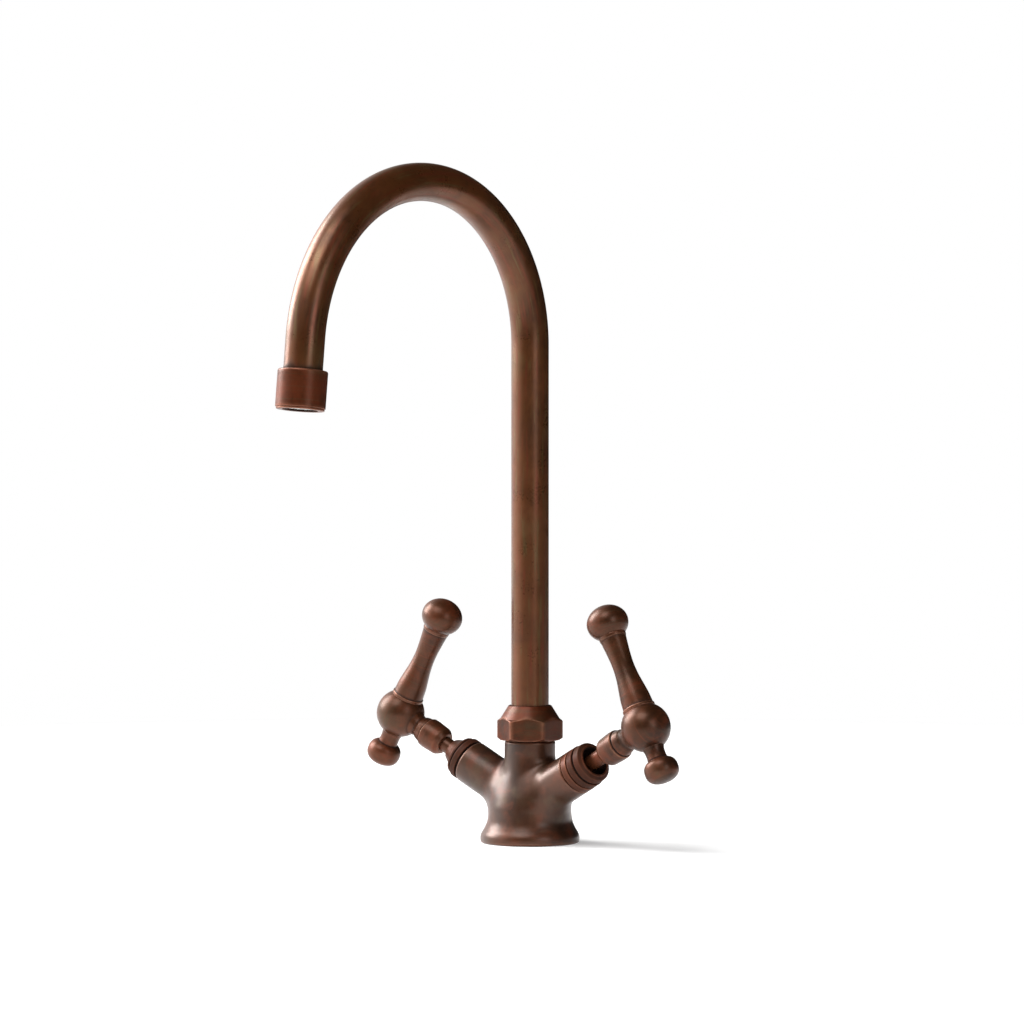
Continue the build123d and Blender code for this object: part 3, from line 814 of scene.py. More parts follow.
@dataclass
class Handle(Assembly):
    """One valve's handle: hub, lever, knob and tail knob. Millimetres throughout."""

    arm: Arm
    hub_distance: float = 92.0
    ball_radius: float = 12.4
    barrel_start: float = 60.0
    barrel_mouth: float = 5.6
    barrel_radius: float = 7.8
    barrel_end: float = 72.3
    neck_radius: float = 5.5
    neck_position: float = 78.2
    stem_bore: float = 4.05
    stem_end: float = 75.0
    lever_seat_radius: float = 8.1
    lever_waist: float = 5.4
    lever_waist_position: float = 33.0
    lever_top: float = 6.6
    lever_top_position: float = 48.6
    lip_radius: float = 6.85
    lip_height: float = 2.4
    knob_radius: float = 10.6
    knob_half_height: float = 9.1
    knob_position: float = 57.2
    tail_radius: float = 5.3
    tail_knob_radius: float = 8.7
    tail_knob_half_height: float = 6.3
    tail_knob_position: float = 23.2
    tail_knob_power: float = 2.5

    def hub_outline(self) -> Array:
        """Barrel with a soft nose and a stepped shoulder, hollow neck, then the ball."""
        radius, start, end = self.barrel_radius, self.barrel_start, self.barrel_end
        barrel = rounded_outline(
            [
                (self.stem_bore, self.stem_end, 0),
                (self.stem_bore, start, 0.3),
                (self.barrel_mouth, start, 1.2),
                (radius - 0.35, start + 2.6, 2.6),
                (radius, end - 3.0, 3.0),
                (radius - 0.1, end, 0.9),
                (radius - 1.0, end + 0.5, 0.4),
                (radius - 0.9, end + 1.2, 0.5),
            ],
            closed=False,
        )
        join = math.asin((self.neck_radius + 0.9) / self.ball_radius)
        knots = [
            (radius - 0.9, end + 1.2),
            (self.neck_radius + 0.85, self.neck_position - 2.2),
            (self.neck_radius, self.neck_position),
            (self.neck_radius + 0.9, self.hub_distance - self.ball_radius * math.cos(join)),
        ]
        neck = curve_through(np.array(knots), 8)[1:]
        ball = oval_outline(self.ball_radius, self.ball_radius, self.hub_distance, join, 40)[1:]
        floor = np.array([[0.0, self.stem_end]])
        return subdivided(np.vstack([floor, barrel, neck, ball]), OUTLINE_STEP, closed=False)

    def lever_outline(self) -> Array:
        """Bead on the ball, long hollow curve, and a soft lip under the knob."""
        seat = math.sqrt(self.ball_radius**2 - self.lever_seat_radius**2)
        top, low, lip = self.lever_top, self.lever_top_position, self.lip_radius
        high = low + self.lip_height
        bead = [
            (0, seat - 3.0, 0),
            (7.7, seat - 0.4, 0.3),
            (8.3, seat + 0.3, 0.7),
            (8.3, seat + 1.4, 0.6),
            (7.85, seat + 1.9, 0.5),
        ]
        knots = [
            (7.8, seat + 2.2),
            (7.4, seat + 7.5),
            (6.6, 22.0),
            (5.8, 27.2),
            (self.lever_waist, self.lever_waist_position),
            (5.55, 38.0),
            (6.05, 43.5),
            (top, low - 0.3),
        ]
        rim = [
            (top, low - 0.2, 0),
            (lip, low + 0.1, 0.5),
            (lip + 0.15, low + self.lip_height * 0.5, 0.9),
            (lip, high, 0.5),
            (0, high, 0),
        ]
        lines = [
            rounded_outline(bead, closed=False),
            curve_through(np.array(knots), 6),
            rounded_outline(rim, closed=False)[1:],
        ]
        return subdivided(np.vstack(lines), OUTLINE_STEP, closed=False)

    def tail_outline(self) -> Array:
        """Short waisted stem running softly into a thick rounded knob."""
        radius, power = self.tail_radius, self.tail_knob_power
        seat = math.sqrt(self.ball_radius**2 - radius**2)
        join = math.asin(((radius - 0.2) / self.tail_knob_radius) ** (power / 2))
        size = (self.tail_knob_radius, self.tail_knob_half_height, self.tail_knob_position)
        oval = oval_outline(*size, join, 40, power)
        knots = [
            (radius + 0.3, seat - 0.6),
            (radius - 0.3, seat + 2.0),
            (radius - 0.4, seat + 4.2),
            tuple(oval[0]),
        ]
        stem = curve_through(np.array(knots), 6)[:-1]
        root = np.array([(0.0, seat - 3.0)])
        return subdivided(np.vstack([root, stem, oval]), 1.0, closed=False)

    def shapes(self) -> list[Shape]:
        """Hub, lever, knob and tail knob, all turned."""
        prefix = self.arm.side.prefix
        lever_place = self.arm.square(self.hub_distance, 1)
        knob = oval_outline(self.knob_radius, self.knob_half_height, self.knob_position)
        parts = [
            ("handle_hub", self.hub_outline(), self.arm.along()),
            ("lever", self.lever_outline(), lever_place),
            ("knob", knob, lever_place),
            ("tail_knob", self.tail_outline(), self.arm.square(self.hub_distance, -1)),
        ]
        shapes = []
        for part, outline, place in parts:
            role = Role(f"{prefix}_handle", "aged_copper_handles", f"{prefix}_{part}")
            shapes.append((f"{role.node}_turned", lathe(outline, closed=False), place, role))
        return shapes


@dataclass
class Bonnet(Assembly):
    """The screwed-in bonnet at an arm's end, and the cold side's spacer ring."""

    arm: Arm
    ring_start: float = 42.05
    ring_end: float = 46.3
    groove_width: float = 1.15
    radius: float = 11.2
    groove_depth: float = 1.3
    end: float = 52.55
    tail_radius: float = 8.95
    tail_start: float = 37.0
    stem_bore: float = 4.06
    spacer_start: float = 37.8
    spacer_end: float = 42.0
    patina: float = 0.55
    spacer_patina: float = 0.15

    @property
    def hot(self) -> bool:
        """Whether this is the hot side's bonnet."""
        return self.arm.side is Side.HOT

    def front(self) -> list[Triple]:
        """Corners beyond the second groove: radius, height and rounding.

        The hot side has a thin flange and a cone that narrows to the stem, and the
        cold side a thick ring round a wide, deep mouth.

        Returns:
            The corners up to the mouth's floor.
        """
        radius, end, bore = self.radius, self.end, self.stem_bore
        start = self.ring_end + self.groove_width
        if self.hot:
            return [
                (radius - 0.9, start, 0.4),
                (radius - 1.1, start + 1.2, 0.5),
                (radius - 2.5, start + 1.5, 0.4),
                (radius - 4.0, end - 1.2, 3.0),
                (radius - 5.6, end + 2.0, 0.7),
                (bore + 0.7, end + 2.0, 0.3),
                (bore + 0.7, end - 0.4, 0.3),
                (bore, end - 0.4, 0.1),
            ]
        return [
            (radius - 0.5, start, 0.6),
            (radius - 0.8, start + 3.3, 0.7),
            (radius - 2.8, end - 0.6, 0.6),
            (radius - 3.9, end - 0.6, 0.4),
            (radius - 4.0, end - 5.2, 0.3),
            (bore, end - 5.2, 0.1),
        ]

    def outline(self) -> Array:
        """Ring between two grooves, then the side's own front, as a closed loop."""
        low, high = self.radius - self.groove_depth, self.radius - 0.1
        groove_end = self.ring_start + (self.groove_width if self.hot else 0.6)
        corners = [
            (self.stem_bore, self.tail_start, 0.2),
            (self.tail_radius, self.tail_start, 0.2),
            (self.tail_radius, self.ring_start, 0.1),
            (low, self.ring_start, 0.05),
            (low, groove_end, 0.1),
            (high, groove_end, 0.5),
            (high, self.ring_end, 0.5),
            (low, self.ring_end, 0.1),
            (low, self.ring_end + self.groove_width, 0.1),
        ]
        return loop_outline(corners + self.front(), 0.6)

    def spacer_outline(self) -> Array:
        """Plain ring with a groove beside the arm, as a closed loop."""
        radius, start, inner = self.radius, self.spacer_start, self.tail_radius + 0.05
        corners = [
            (inner, start, 0.1),
            (radius - 1.0, start, 0.05),
            (radius - 1.0, start + 0.6, 0.1),
            (radius, start + 0.6, 0.4),
            (radius, self.spacer_end, 0.5),
            (inner, self.spacer_end, 0.1),
        ]
        return loop_outline(corners, 0.6)

    def deposit_and_shade(self, outline: Array, least: float) -> Array:
        """Dark deposit, with painted shade that is full in the grooves and the mouth, and at least
        some deposit elsewhere.

        Args:
            outline: (n, 2) array of radius and height.
            least: Share outside the grooves.

        Returns:
            One share for each point.
        """
        radius, height = outline.T
        groove = (radius < self.radius - 0.75) & (height < self.ring_end + self.groove_width)
        mouth = radius < (4.9 if self.hot else 7.6)
        cone = (radius < self.radius - 2.3) & (height > self.ring_end)
        # Painted shade: the grooves and the mouth are painted fully dark as shade; elsewhere the
        # share is patina.
        return np.where(groove | mouth, 1.0, np.where(cone, 0.4 * least, least))

    def shapes(self) -> list[Shape]:
        """The bonnet, and on the cold side the spacer ring."""
        prefix = self.arm.side.prefix
        rings = [(f"{prefix}_bonnet_turned", self.outline(), self.patina, f"{prefix}_bonnet")]
        if not self.hot:
            spacer = ("cold_spacer_turned", self.spacer_outline(), self.spacer_patina)
            rings.append((*spacer, "cold_spacer_ring"))
        shapes = []
        for name, line, patina, node in rings:
            surface = lathe(line, True, self.deposit_and_shade(line, patina))
            role = Role("faucet_body", "aged_copper_rings", node)
            shapes.append((name, surface, self.arm.along(), role))
        return shapes


@dataclass
class Casting:
    """The body casting as one blended skin. Millimetres throughout.

    The solid is a signed field: the turned core and the two arms joined by a soft
    minimum, less its bores. A fine mesh over the solid is drawn onto the field's zero.
    """

    hot: Arm
    cold: Arm
    neck_top: float = 51.6
    thread_top: float = 61.0
    thread_height: float = 18.0
    thread_radius: float = 12.2
    neck_bore: float = 10.0
    neck_bore_bottom: float = 42.0
    mixing_bore: float = 6.0
    mixing_bore_bottom: float = 30.5
    arm_radius: float = 11.2
    hot_end: float = 42.0
    cold_end: float = 37.75
    valve_bore: float = 9.0
    seat_depth: float = 24.0
    seat_bore: float = 4.2
    seat_bore_bottom: float = 19.5
    inlet_radius: float = 2.6
    outlet_radius: float = 1.5
    outlet_offset: float = 7.4
    port_radius: float = 4.5
    port_depth: float = 11.0
    port_spread: float = 8.6
    port_forward: float = 4.5
    stud_radius: float = 3.4
    stud_depth: float = 12.0
    stud_back: float = 9.6
    groove_radius: float = 21.0
    groove_width: float = 2.6
    groove_depth: float = 2.2
    voxel: float = 0.5
    low_blend: float = 9.0
    high_blend: float = 5.0
    blend_start: float = 24.0
    blend_run: float = 16.0
    edge_blend: float = 0.9
    rim_blend: float = 1.6
    first_rounds: int = 4
    easing_rounds: int = 5
    longest_move: float = 0.8

    def core_radius(self, height: Array) -> Array:
        """Radius of the turned core at each height.

        A smooth curve through the foot's rim, the waist and the neck's root.

        Args:
            height: Heights above the deck.

        Returns:
            The radii.
        """
        radii = (25.2, 25.2, 25.1, 24.5, 23.1, 21.8, 21.0, 20.3, 18.4, 16.0, 14.0, 13.0, 12.9, 12.9)
        levels = (-2.0, 1.2, 3.4, 5.2, 7.6, 10.8, 15.4, 19.5, 25.0, 31.0, 37.0, 43.0, 48.0, 54.0)
        curve = curve_through(np.stack([radii, levels], 1), 12)
        return np.interp(height, curve[:, 1], curve[:, 0])

    def soft_least(self, one: Array, two: Array, blend: Array | float) -> Array:
        """Soft minimum of two fields, k wide: min(a, b) - max(k - |a - b|, 0)^2 / 4k."""
        return np.minimum(one, two) - np.maximum(blend - np.abs(one - two), 0) ** 2 / (4 * blend)

    def soft_most(self, one: Array, two: Array, blend: float) -> Array:
        """Soft maximum, the mirror of the soft minimum."""
        return -self.soft_least(-one, -two, blend)

    def pin(self, point: Array, start: Array, end: Array, radius: float) -> Array:
        """Field of a round pin between two points: max(r - R, -s, s - length).

        Args:
            point: (n, 3) points to measure.
            start: One end of the axis.
            end: The other end.
            radius: Radius of the pin.

        Returns:
            The (n,) field, below 0 inside.
        """
        axis = end - start
        length = np.linalg.norm(axis)
        offset = point - start
        along = offset @ axis / length
        away = np.linalg.norm(offset - along[:, None] * axis / length, axis=1)
        return np.maximum(away - radius, np.maximum(-along, along - length))

    def bores(self) -> list[tuple[Array, Array, float]]:
        """Start, end and radius of every hole, each run on to open into the next."""
        up, bottom = UPWARDS, self.mixing_bore_bottom
        stud = np.array([0.0, self.stud_back, 0.0])
        pins = [
            (self.neck_bore_bottom * up, (self.thread_top + 3) * up, self.neck_bore),
            (bottom * up, (self.neck_bore_bottom + 1) * up, self.mixing_bore),
            (stud - 3 * up, stud + self.stud_depth * up, self.stud_radius),
        ]
        for arm in (self.hot, self.cold):
            foot = np.array([arm.side.value * self.port_spread, -self.port_forward, 0.0])
            seat, valve = arm.point(self.seat_bore_bottom), arm.point(self.seat_depth)
            inlet = arm.point(self.seat_bore_bottom + 1)
            outlet = arm.point(self.seat_depth + 1, self.outlet_offset)
            pins += [
                (foot - 3 * up, foot + self.port_depth * up, self.port_radius),
                (valve, arm.point(self.hot_end + 3), self.valve_bore),
                (seat, valve + arm.direction, self.seat_bore),
                (foot + (self.port_depth - 1) * up, inlet, self.inlet_radius),
                (outlet, (bottom + 2) * up, self.outlet_radius),
            ]
        return pins

    def outside(self, point: Array) -> Array:
        """Field of the casting without its holes.

        Args:
            point: (n, 3) points to measure.

        Returns:
            The (n,) field, below 0 inside.
        """
        away = np.linalg.norm(point[:, :2], axis=1)
        height = point[:, 2]
        step, far_inside = 0.1, -50.0
        rise = self.core_radius(height + step) - self.core_radius(height - step)
        slope = rise / (2 * step)
        body = (away - self.core_radius(height)) / np.sqrt(1 + slope**2)
        share = np.clip((height - self.blend_start) / self.blend_run, 0, 1)
        blend = self.low_blend + (self.high_blend - self.low_blend) * share
        past_ends = []
        for arm, end in ((self.hot, self.hot_end), (self.cold, self.cold_end)):
            offset = point - arm.point(0.0)
            along = offset @ arm.direction
            across = offset - np.maximum(along, 0)[:, None] * arm.direction
            tube = np.linalg.norm(across, axis=1) - self.arm_radius
            body = self.soft_least(body, tube, blend)
            own_side = point[:, 0] * arm.side.value > 0
            past_ends.append(np.where(own_side, along - end, far_inside))
        for past in (*past_ends, height - self.neck_top):
            body = self.soft_most(body, past, self.edge_blend)
        body = self.soft_most(body, -height, self.rim_blend)
        half = self.thread_height / 2
        past_thread = np.abs(height - (self.thread_top - half)) - half
        return np.minimum(body, np.maximum(away - self.thread_radius, past_thread))

    def field(self, point: Array) -> Array:
        """Field of the whole casting, below 0 inside.

        Args:
            point: (n, 3) points to measure.

        Returns:
            The (n,) field.
        """
        body = self.outside(point)
        for start, end, radius in self.bores():
            body = np.maximum(body, -self.pin(point, start, end, radius))
        away = np.linalg.norm(point[:, :2], axis=1)
        groove = np.abs(away - self.groove_radius) - self.groove_width / 2
        groove = np.maximum(groove, point[:, 2] - self.groove_depth)
        return np.maximum(body, -groove)

    def drawn_on(self, point: Array, rounds: int) -> Array:
        """Move points onto the field's zero by Newton steps p - f g / (g . g).

        The slope g comes from the field's differences over a step of 0.05 mm.

        Args:
            point: (n, 3) points near the surface.
            rounds: Number of steps.

        Returns:
            The moved points.
        """
        step = 0.05
        for _ in range(rounds):
            here = self.field(point)
            slope = np.stack([self.field(point + step * axis) - here for axis in np.eye(3)], 1)
            slope = slope / step
            size = np.maximum((slope**2).sum(1), 0.2)
            move = (here / size)[:, None] * slope
            point = point - np.clip(move, -self.longest_move, self.longest_move)
        return point

    def rough_mesh(self) -> bpy.types.Mesh:
        """Fine even mesh over a copy of the solid, by a voxel remesh."""
        source = frame["nodes"]["body_casting"]
        mesh = source.data.copy()
        mesh.transform(source.matrix_world)
        merge_poles(mesh)
        holder = add_object("casting_rough", mesh)
        remesh = holder.modifiers.new("even", "REMESH")
        remesh.mode = "VOXEL"
        remesh.voxel_size = self.voxel * MM
        graph = bpy.context.evaluated_depsgraph_get()
        even = bpy.data.meshes.new_from_object(holder.evaluated_get(graph))
        bpy.data.objects.remove(holder)
        return even

    def build(self, shop: Workshop) -> None:
        """Make and dress the casting.

        Each round eases every point towards the mean of its neighbours and then draws it
        back onto the field, which evens the mesh without moving the surface.

        Args:
            shop: Where the piece is made.
        """
        mesh = self.rough_mesh()
        count = len(mesh.vertices)
        point = np.empty(count * 3, np.float32)
        mesh.vertices.foreach_get("co", point)
        point = point.reshape(-1, 3).astype(float) / MM
        edge = np.empty(len(mesh.edges) * 2, np.int32)
        mesh.edges.foreach_get("vertices", edge)
        edge = np.vstack([edge.reshape(-1, 2), edge.reshape(-1, 2)[:, ::-1]])
        degree = np.bincount(edge[:, 0], minlength=count)[:, None]
        point = self.drawn_on(point, self.first_rounds)
        for _ in range(self.easing_rounds):
            total = [np.bincount(edge[:, 0], point[edge[:, 1], axis], count) for axis in range(3)]
            point = self.drawn_on(0.5 * point + 0.5 * np.stack(total, 1) / degree, 1)
        mesh.vertices.foreach_set("co", (point * MM).astype(np.float32).ravel())
        mesh.update()
        reach, rub_from, rub_span = 0.35, 0.35, 1.2
        inner_from, inner_span, grain_scale = 0.4, 0.6, 0.3
        ring = sum(self.field(point + s) + self.field(point - s) for s in reach * np.eye(3))
        bend = (ring - 6 * self.field(point)) / reach**2
        wear = np.clip((bend - rub_from) / rub_span, 0, 1)
        # Painted shade: walls of the bores and the foot's groove, inside the solid's envelope, are
        # painted dark as shade.
        dirt = np.clip((self.outside(point) + inner_from) / -inner_span, 0, 1)
        write_marks(mesh, wear, dirt, point * grain_scale)
        smooth_shade(mesh)
        role = Role("faucet_body", "aged_copper_casting", "body_casting")
        shop.finish(add_object("blended_casting", mesh), role)


@dataclass
class CouplingNut(Assembly):
    """Hexagon nut with a cone on top, closed on the tube."""

    flats: float = 29.6
    corner_radius: float = 16.9
    bottom: float = 52.2
    chamfer_width: float = 1.8
    chamfer_height: float = 1.15
    hex_top: float = 63.1
    top: float = 69.9
    lip: float = 1.2
    tube_hole: float = 9.775
    thread_radius: float = 12.25
    thread_top: float = 65.2
    turn_deg: float = 4.0
    edge_softness: float = 0.35
    rubbed_edge: float = 0.45
    rubbed_corner: float = 0.03
    rubbed_rim: float = 0.5
    patina: float = 0.06
    columns: int = 240
    rows: int = 90

    def surface(self) -> Surface:
        """Outside radius as a soft minimum of a hexagon and a turned envelope.

        The hexagon's radius is (flats / 2) / cos(angle to the nearest flat), and the
        envelope goes straight between its corners. The soft minimum of A and B with
        softness s is (A + B - sqrt((A - B)^2 + s^2)) / 2, which is never above either.

        Returns:
            The closed surface, inner thread wall included.
        """
        angle = round_turn(self.columns)
        cone_foot, cone_top = self.corner_radius - self.chamfer_width, self.top - 0.25
        radii = (cone_foot, self.corner_radius, self.corner_radius, cone_foot)
        levels = (
            self.bottom,
            self.bottom + self.chamfer_height,
            self.hex_top - self.chamfer_height,
            self.hex_top,
        )
        height = np.linspace(self.bottom, cone_top, self.rows)
        turned = np.interp(height, (*levels, cone_top), (*radii, self.tube_hole + self.lip))
        sixth = math.pi / 3
        offset = (angle - math.radians(self.turn_deg) + sixth / 2) % sixth - sixth / 2
        hexagon = (self.flats / 2) / np.cos(offset)
        one, two = turned[:, None], hexagon[None, :]
        gap = one - two
        outside = (one + two - np.sqrt(gap**2 + self.edge_softness**2)) / 2
        inner = np.array(
            [
                (self.tube_hole + self.lip * 0.5, self.top),
                (self.tube_hole, self.top - 0.2),
                (self.tube_hole, self.thread_top),
                (self.thread_radius, self.thread_top),
                (self.thread_radius, self.bottom + 0.4),
                (self.thread_radius + 0.5, self.bottom),
            ]
        )
        radius = np.vstack([outside, np.repeat(inner[:, :1], self.columns, axis=1)])
        level = np.concatenate([height, inner[:, 1]])[:, None] + 0 * radius
        grid = np.stack([radius * np.cos(angle), radius * np.sin(angle), level], -1)
        edge = np.exp(-((gap / self.rubbed_edge) ** 2)) * (one < self.corner_radius + 1)
        past_flat = (np.abs(offset) - sixth / 2) / self.rubbed_corner
        corner = np.exp(-(past_flat**2))[None, :] * (gap > 0)
        rim = np.exp(-(((height - self.bottom) / self.rubbed_rim) ** 2))[:, None]
        outer_wear = np.clip(np.maximum(edge * 0.8, corner) + 0.5 * rim, 0, 1)
        wear = np.vstack([outer_wear, np.zeros((len(inner), self.columns))])
        # Painted shade: the inner thread wall is painted fully dark as shade; the outside carries a
        # thin patina.
        dirt = np.vstack([0 * outer_wear + self.patina, np.ones((len(inner), self.columns))])
        return Surface(grid, wear, dirt, grain_coordinates(grid, Grain.AROUND), True)

    def shapes(self) -> list[Shape]:
        """The nut alone."""
        role = Role("faucet_body", "aged_copper_rings", "spout_nut")
        return [("coupling_nut", self.surface(), UPRIGHT, role)]


@dataclass
class Spout(Assembly):
    """The gooseneck tube, its collar and the aerator's ring. Millimetres throughout."""

    radius: float = 9.525
    wall: float = 1.2
    foot: float = 61.45
    rise_top: float = 252.5
    first_bend: float = 79.5
    first_bend_deg: float = 82.0
    second_bend: float = 87.2
    second_bend_deg: float = 91.8
    tail: float = 15.5
    socket: float = 6.0
    collar_radius: float = 12.15
    collar_length: float = 18.3
    collar_waterway: float = 8.0
    aerator_radius: float = 10.95
    aerator_depth: float = 8.0
    rim_radius: float = 11.7
    rim_height: float = 1.0
    rim_opening: float = 8.6
    housing_bore: float = 9.55
    columns: int = 96
    rows: int = 520
    oval_run: float = 20.0
    oval_share: float = 0.010
    grime: float = 0.85

    def lengths(self) -> Array:
        """Lengths of the four stretches of the centre line."""
        first = self.first_bend * math.radians(self.first_bend_deg)
        second = self.second_bend * math.radians(self.second_bend_deg)
        return np.array([self.rise_top - self.foot, first, second, self.tail + self.socket])

    def centre_line(self, along: Array) -> tuple[Array, Array]:
        """Point and heading at each distance along the tube.

        The heading turns at 1 / bend radius over each bend. The point is the sum of the
        straight run, the two exact arcs and the straight tail, each up to that distance.

        Args:
            along: Distances from the tube's foot, increasing.

        Returns:
            Points as (forward, height) pairs, and headings from straight up.
        """
        rise, first, second, _ = self.lengths()
        first_turn = np.clip(along - rise, 0, first) / self.first_bend
        second_turn = np.clip(along - rise - first, 0, second) / self.second_bend
        heading = first_turn + second_turn
        up = np.minimum(along, rise)
        past = np.maximum(along - rise - first - second, 0)
        turn_one = math.radians(self.first_bend_deg)
        forward = self.first_bend * (1 - np.cos(first_turn))
        height = up + self.first_bend * np.sin(first_turn)
        forward += self.second_bend * (np.cos(turn_one) - np.cos(turn_one + second_turn))
        height += self.second_bend * (np.sin(turn_one + second_turn) - np.sin(turn_one))
        forward += past * np.sin(heading)
        height += past * np.cos(heading)
        return np.stack([forward, self.foot + height], 1), heading

    def tube_surface(self) -> Surface:
        """Outside and inside walls swept along the centre line as one closed skin.

        A point is the centre + r cos a (sideways) + r sin a (square to the heading). In the
        bends the section is pressed oval by up to 1 %, as a mandrel leaves it. Grime ends
        above the collar in an uneven line.

        Returns:
            The closed surface.
        """
        rise, first, second, _ = self.lengths()
        total = self.lengths().sum()
        along = np.linspace(0, total, self.rows)
        walk = np.concatenate([along, along[::-1]])
        inside = np.repeat([0.0, 1.0], self.rows)
        point, heading = self.centre_line(walk)
        start, end = walk - rise, rise + first + second - walk
        bent = np.clip(start / self.oval_run, 0, 1) * np.clip(end / self.oval_run, 0, 1)
        angle = round_turn(self.columns)
        radius = (self.radius - self.wall * inside)[:, None]
        oval = 1 - self.oval_share * bent[:, None] * np.sin(angle)[None, :] ** 2
        side = radius * np.cos(angle)[None, :]
        across = radius * oval * np.sin(angle)[None, :]
        forward = point[:, :1] + across * np.cos(heading)[:, None]
        height = point[:, 1:] - across * np.sin(heading)[:, None]
        grid = np.stack([side, -forward, height], -1)
        straight = np.stack([side, across, walk[:, None] + 0 * side], -1)
        above_collar = np.maximum(total - self.socket - walk, 0)[:, None]
        reach = 1.2 + 2.6 * (0.5 + 0.5 * np.sin(4 * angle + 1)) * (0.5 + 0.5 * np.sin(7 * angle))
        grime = self.grime * np.exp(-((above_collar / reach) ** 2))
        # Painted shade: the inside wall is painted fully dark as shade; the band above the collar
        # is grime.
        dirt = np.maximum(grime, inside[:, None])
        wear = np.zeros(grid.shape[:2])
        return Surface(grid, wear, dirt, grain_coordinates(straight, Grain.ALONG), True)

    def outlet(self) -> Placement:
        """Frame at the collar's top with Z along the outflow."""
        point, heading = self.centre_line(np.array([self.lengths().sum() - self.socket]))
        origin = np.array([0.0, -point[0, 0], point[0, 1]])
        outflow = np.array([0.0, -math.sin(heading[0]), math.cos(heading[0])])
        return Placement(origin, ACROSS, outflow)

    def collar_outline(self) -> Array:
        """Collar with a rounded shoulder and a crisp lower rim, as a closed loop."""
        inner, floor = self.radius + 0.05, self.socket + 0.05
        step = self.collar_length - self.aerator_depth
        corners = [
            (inner, 0, 0.3),
            (self.collar_radius, 0, 1.5),
            (self.collar_radius, self.collar_length, 0.35),
            (self.aerator_radius, self.collar_length, 0.15),
            (self.aerator_radius, step, 0.1),
            (self.collar_waterway, step, 0.1),
            (self.collar_waterway, floor, 0.1),
            (inner, floor, 0.1),
        ]
        return loop_outline(corners)

    def aerator_outline(self) -> Array:
        """Threaded ring with its visible rim and inner lip, as a closed loop."""
        start = self.collar_length - self.aerator_depth + 1.5
        rim, thread = self.collar_length + 0.05, self.aerator_radius - 0.05
        end = rim + self.rim_height
        corners = [
            (self.housing_bore, start, 0.1),
            (thread, start, 0.1),
            (thread, rim, 0.05),
            (self.rim_radius, rim, 0.25),
            (self.rim_radius, end, 0.4),
            (self.rim_opening, end, 0.35),
            (self.rim_opening, rim - 0.05, 0.1),
            (self.housing_bore, rim - 0.05, 0.05),
        ]
        return loop_outline(corners)

    def shapes(self) -> list[Shape]:
        """The tube, the collar and the aerator's ring."""
        role = Role("spout", "aged_copper_tube", "spout_tube")
        shapes = [("gooseneck_tube", self.tube_surface(), UPRIGHT, role)]
        rings = [
            ("outlet_collar", self.collar_outline(), "spout_collar"),
            ("aerator_ring", self.aerator_outline(), "aerator_housing"),
        ]
        for name, outline, node in rings:
            role = Role("spout", "aged_copper_rings", node)
            shapes.append((name, lathe(outline, closed=True), self.outlet(), role))
        return shapes


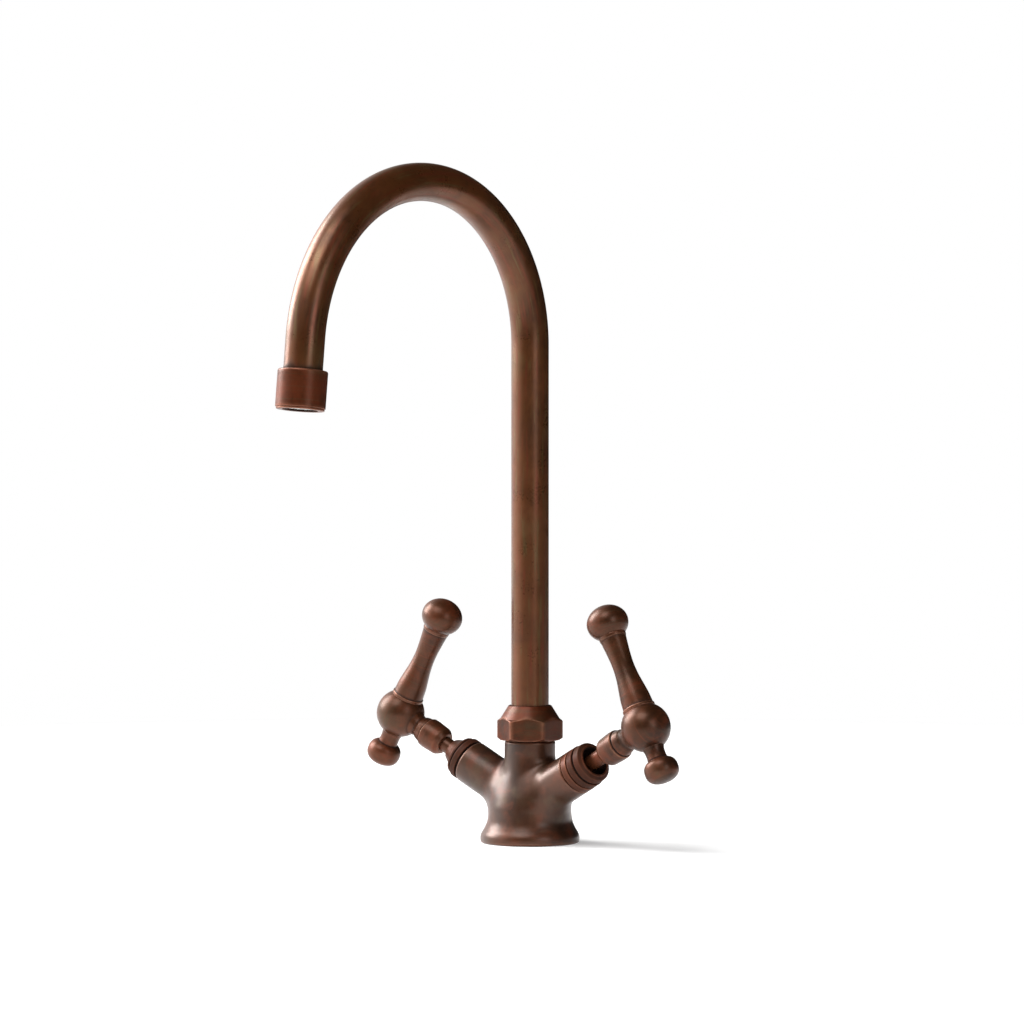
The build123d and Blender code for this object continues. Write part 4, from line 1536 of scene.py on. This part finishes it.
@dataclass
class Studio:
    """Pale floor, soft lights and the photograph's camera. Metres and degrees."""

    azimuth_deg: float = 40.0
    distance: float = 2.28216
    height: float = 0.22088
    yaw: float = -0.004
    pitch: float = 0.0232
    lens: float = 158.16
    sensor: float = 36.0
    floor_white: Triple = (0.80, 0.80, 0.80)
    fill_low: float = 0.02
    fill_high: float = 1.5

    def towards(self, right: float, back: float, up: float) -> Array:
        """Point given by its distance right of, behind and above the object."""
        turn = math.radians(self.azimuth_deg)
        across = np.array([math.cos(turn), math.sin(turn), 0.0])
        ahead = np.array([-math.sin(turn), math.cos(turn), 0.0])
        return right * across + back * ahead + np.array([0.0, 0.0, up])

    def aim(self, thing: bpy.types.Object, right: Array, back: Array, place: Array) -> None:
        """Put a camera or light at a place.

        Args:
            thing: The camera or light.
            right: Unit vector to its right.
            back: Unit vector away from what it faces.
            place: Where it stands, in metres.
        """
        turn = np.eye(4)
        turn[:3] = np.stack([right, np.cross(back, right), back, place], 1)
        thing.matrix_world = Matrix(turn.tolist())

    def camera(self) -> None:
        """Put the camera where the photograph was taken from."""
        data = bpy.data.cameras.new("camera")
        data.lens = self.lens
        data.sensor_fit = "HORIZONTAL"
        data.sensor_width = self.sensor
        data.clip_start, data.clip_end = 0.05, 50.0
        eye = add_object("camera", data)
        level = math.cos(self.pitch)
        ahead = self.towards(
            math.sin(self.yaw) * level, math.cos(self.yaw) * level, -math.sin(self.pitch)
        )
        right = self.towards(math.cos(self.yaw), -math.sin(self.yaw), 0.0)
        self.aim(eye, right, -ahead, self.towards(0.0, -self.distance, self.height))
        bpy.context.scene.camera = eye

    def softbox(self, name: str, place: Array, size: tuple[float, float], power: float) -> None:
        """Rectangular area light that faces the middle of the object.

        Args:
            name: Name of the light.
            place: Where it stands, in metres.
            size: Width and height in metres.
            power: Power in watts.
        """
        data = bpy.data.lights.new(name, "AREA")
        data.shape = "RECTANGLE"
        data.size, data.size_y = size
        data.energy = power
        middle = np.array([0.0, -0.03, 0.16])
        back = (place - middle) / np.linalg.norm(place - middle)
        right = np.cross(UPWARDS, back)
        self.aim(add_object(name, data), right / np.linalg.norm(right), back, place)

    def lights(self) -> None:
        """A tall window of light on the far left, a high soft one and a weak one right."""
        self.softbox("window", self.towards(-1.05, 0.42, 0.80), (0.7, 0.9), 28.0)
        self.softbox("overhead", self.towards(-0.6, -0.9, 1.7), (1.2, 1.0), 22.0)
        self.softbox("right_fill", self.towards(1.0, -1.5, 0.7), (0.7, 1.0), 7.0)

    def world(self) -> None:
        """White where the camera sees it; elsewhere bright on the left and dim on the right.

        The fill is low + (high - low) * smoothstep of the direction's share to the left.
        """
        sheet = NodeSheet(bpy.data.worlds.new("studio"))
        sheet.tree.nodes.clear()
        left = self.towards(-0.9, 0.42, 0.0)
        leftness = sheet.add("VectorMath")
        leftness.operation = "DOT_PRODUCT"
        direction = sheet.add("TexCoord").outputs["Generated"]
        sheet.feed(leftness, {0: direction, 1: tuple(left / np.linalg.norm(left))})
        share = leftness.outputs["Value"]
        strength = sheet.span(share, 0.2, 0.95, self.fill_low, self.fill_high)
        fill = sheet.add("Background", {"Color": WHITE, "Strength": strength})
        seen = sheet.add("Background", {"Color": WHITE})
        camera_ray = sheet.add("LightPath").outputs["Is Camera Ray"]
        join = sheet.add("MixShader", {0: camera_ray, 1: fill.outputs[0], 2: seen.outputs[0]})
        sheet.add("OutputWorld", {"Surface": join.outputs[0]})
        bpy.context.scene.world = sheet.owner

    def floor(self) -> None:
        """Round pale floor under the object, as a disc of rings."""
        radius = np.array([0.0, 0.15, 0.3, 0.6, 0.9]) / MM
        outline = np.stack([radius, np.full(5, -0.02)], 1)
        disc = make_piece("floor", lathe(outline, closed=False, segments=64), UPRIGHT)
        sheet = NodeSheet(bpy.data.materials.new("pale_floor"))
        inputs = {"Base Color": (*self.floor_white, 1.0), "Roughness": 0.9}
        sheet.feed(sheet.shader, {**inputs, "Emission Color": WHITE, "Emission Strength": 0.35})
        disc.data.materials.append(sheet.owner)

    def build(self) -> None:
        """Set up camera, lights, world and floor."""
        bpy.context.scene.view_settings.view_transform = "Standard"
        self.camera()
        self.lights()
        self.world()
        self.floor()


def main() -> None:
    """Build the whole scene in order."""
    logging.basicConfig(level=logging.INFO, format="%(name)s %(message)s")
    shop = Workshop()
    shop.dress_cad_nodes()
    arms = {side: Arm(side) for side in Side}
    Casting(arms[Side.HOT], arms[Side.COLD]).build(shop)
    Spout().build(shop)
    CouplingNut().build(shop)
    for arm in arms.values():
        Bonnet(arm).build(shop)
        Handle(arm).build(shop)
    Studio().build()


if __name__ == "__main__":
    main()
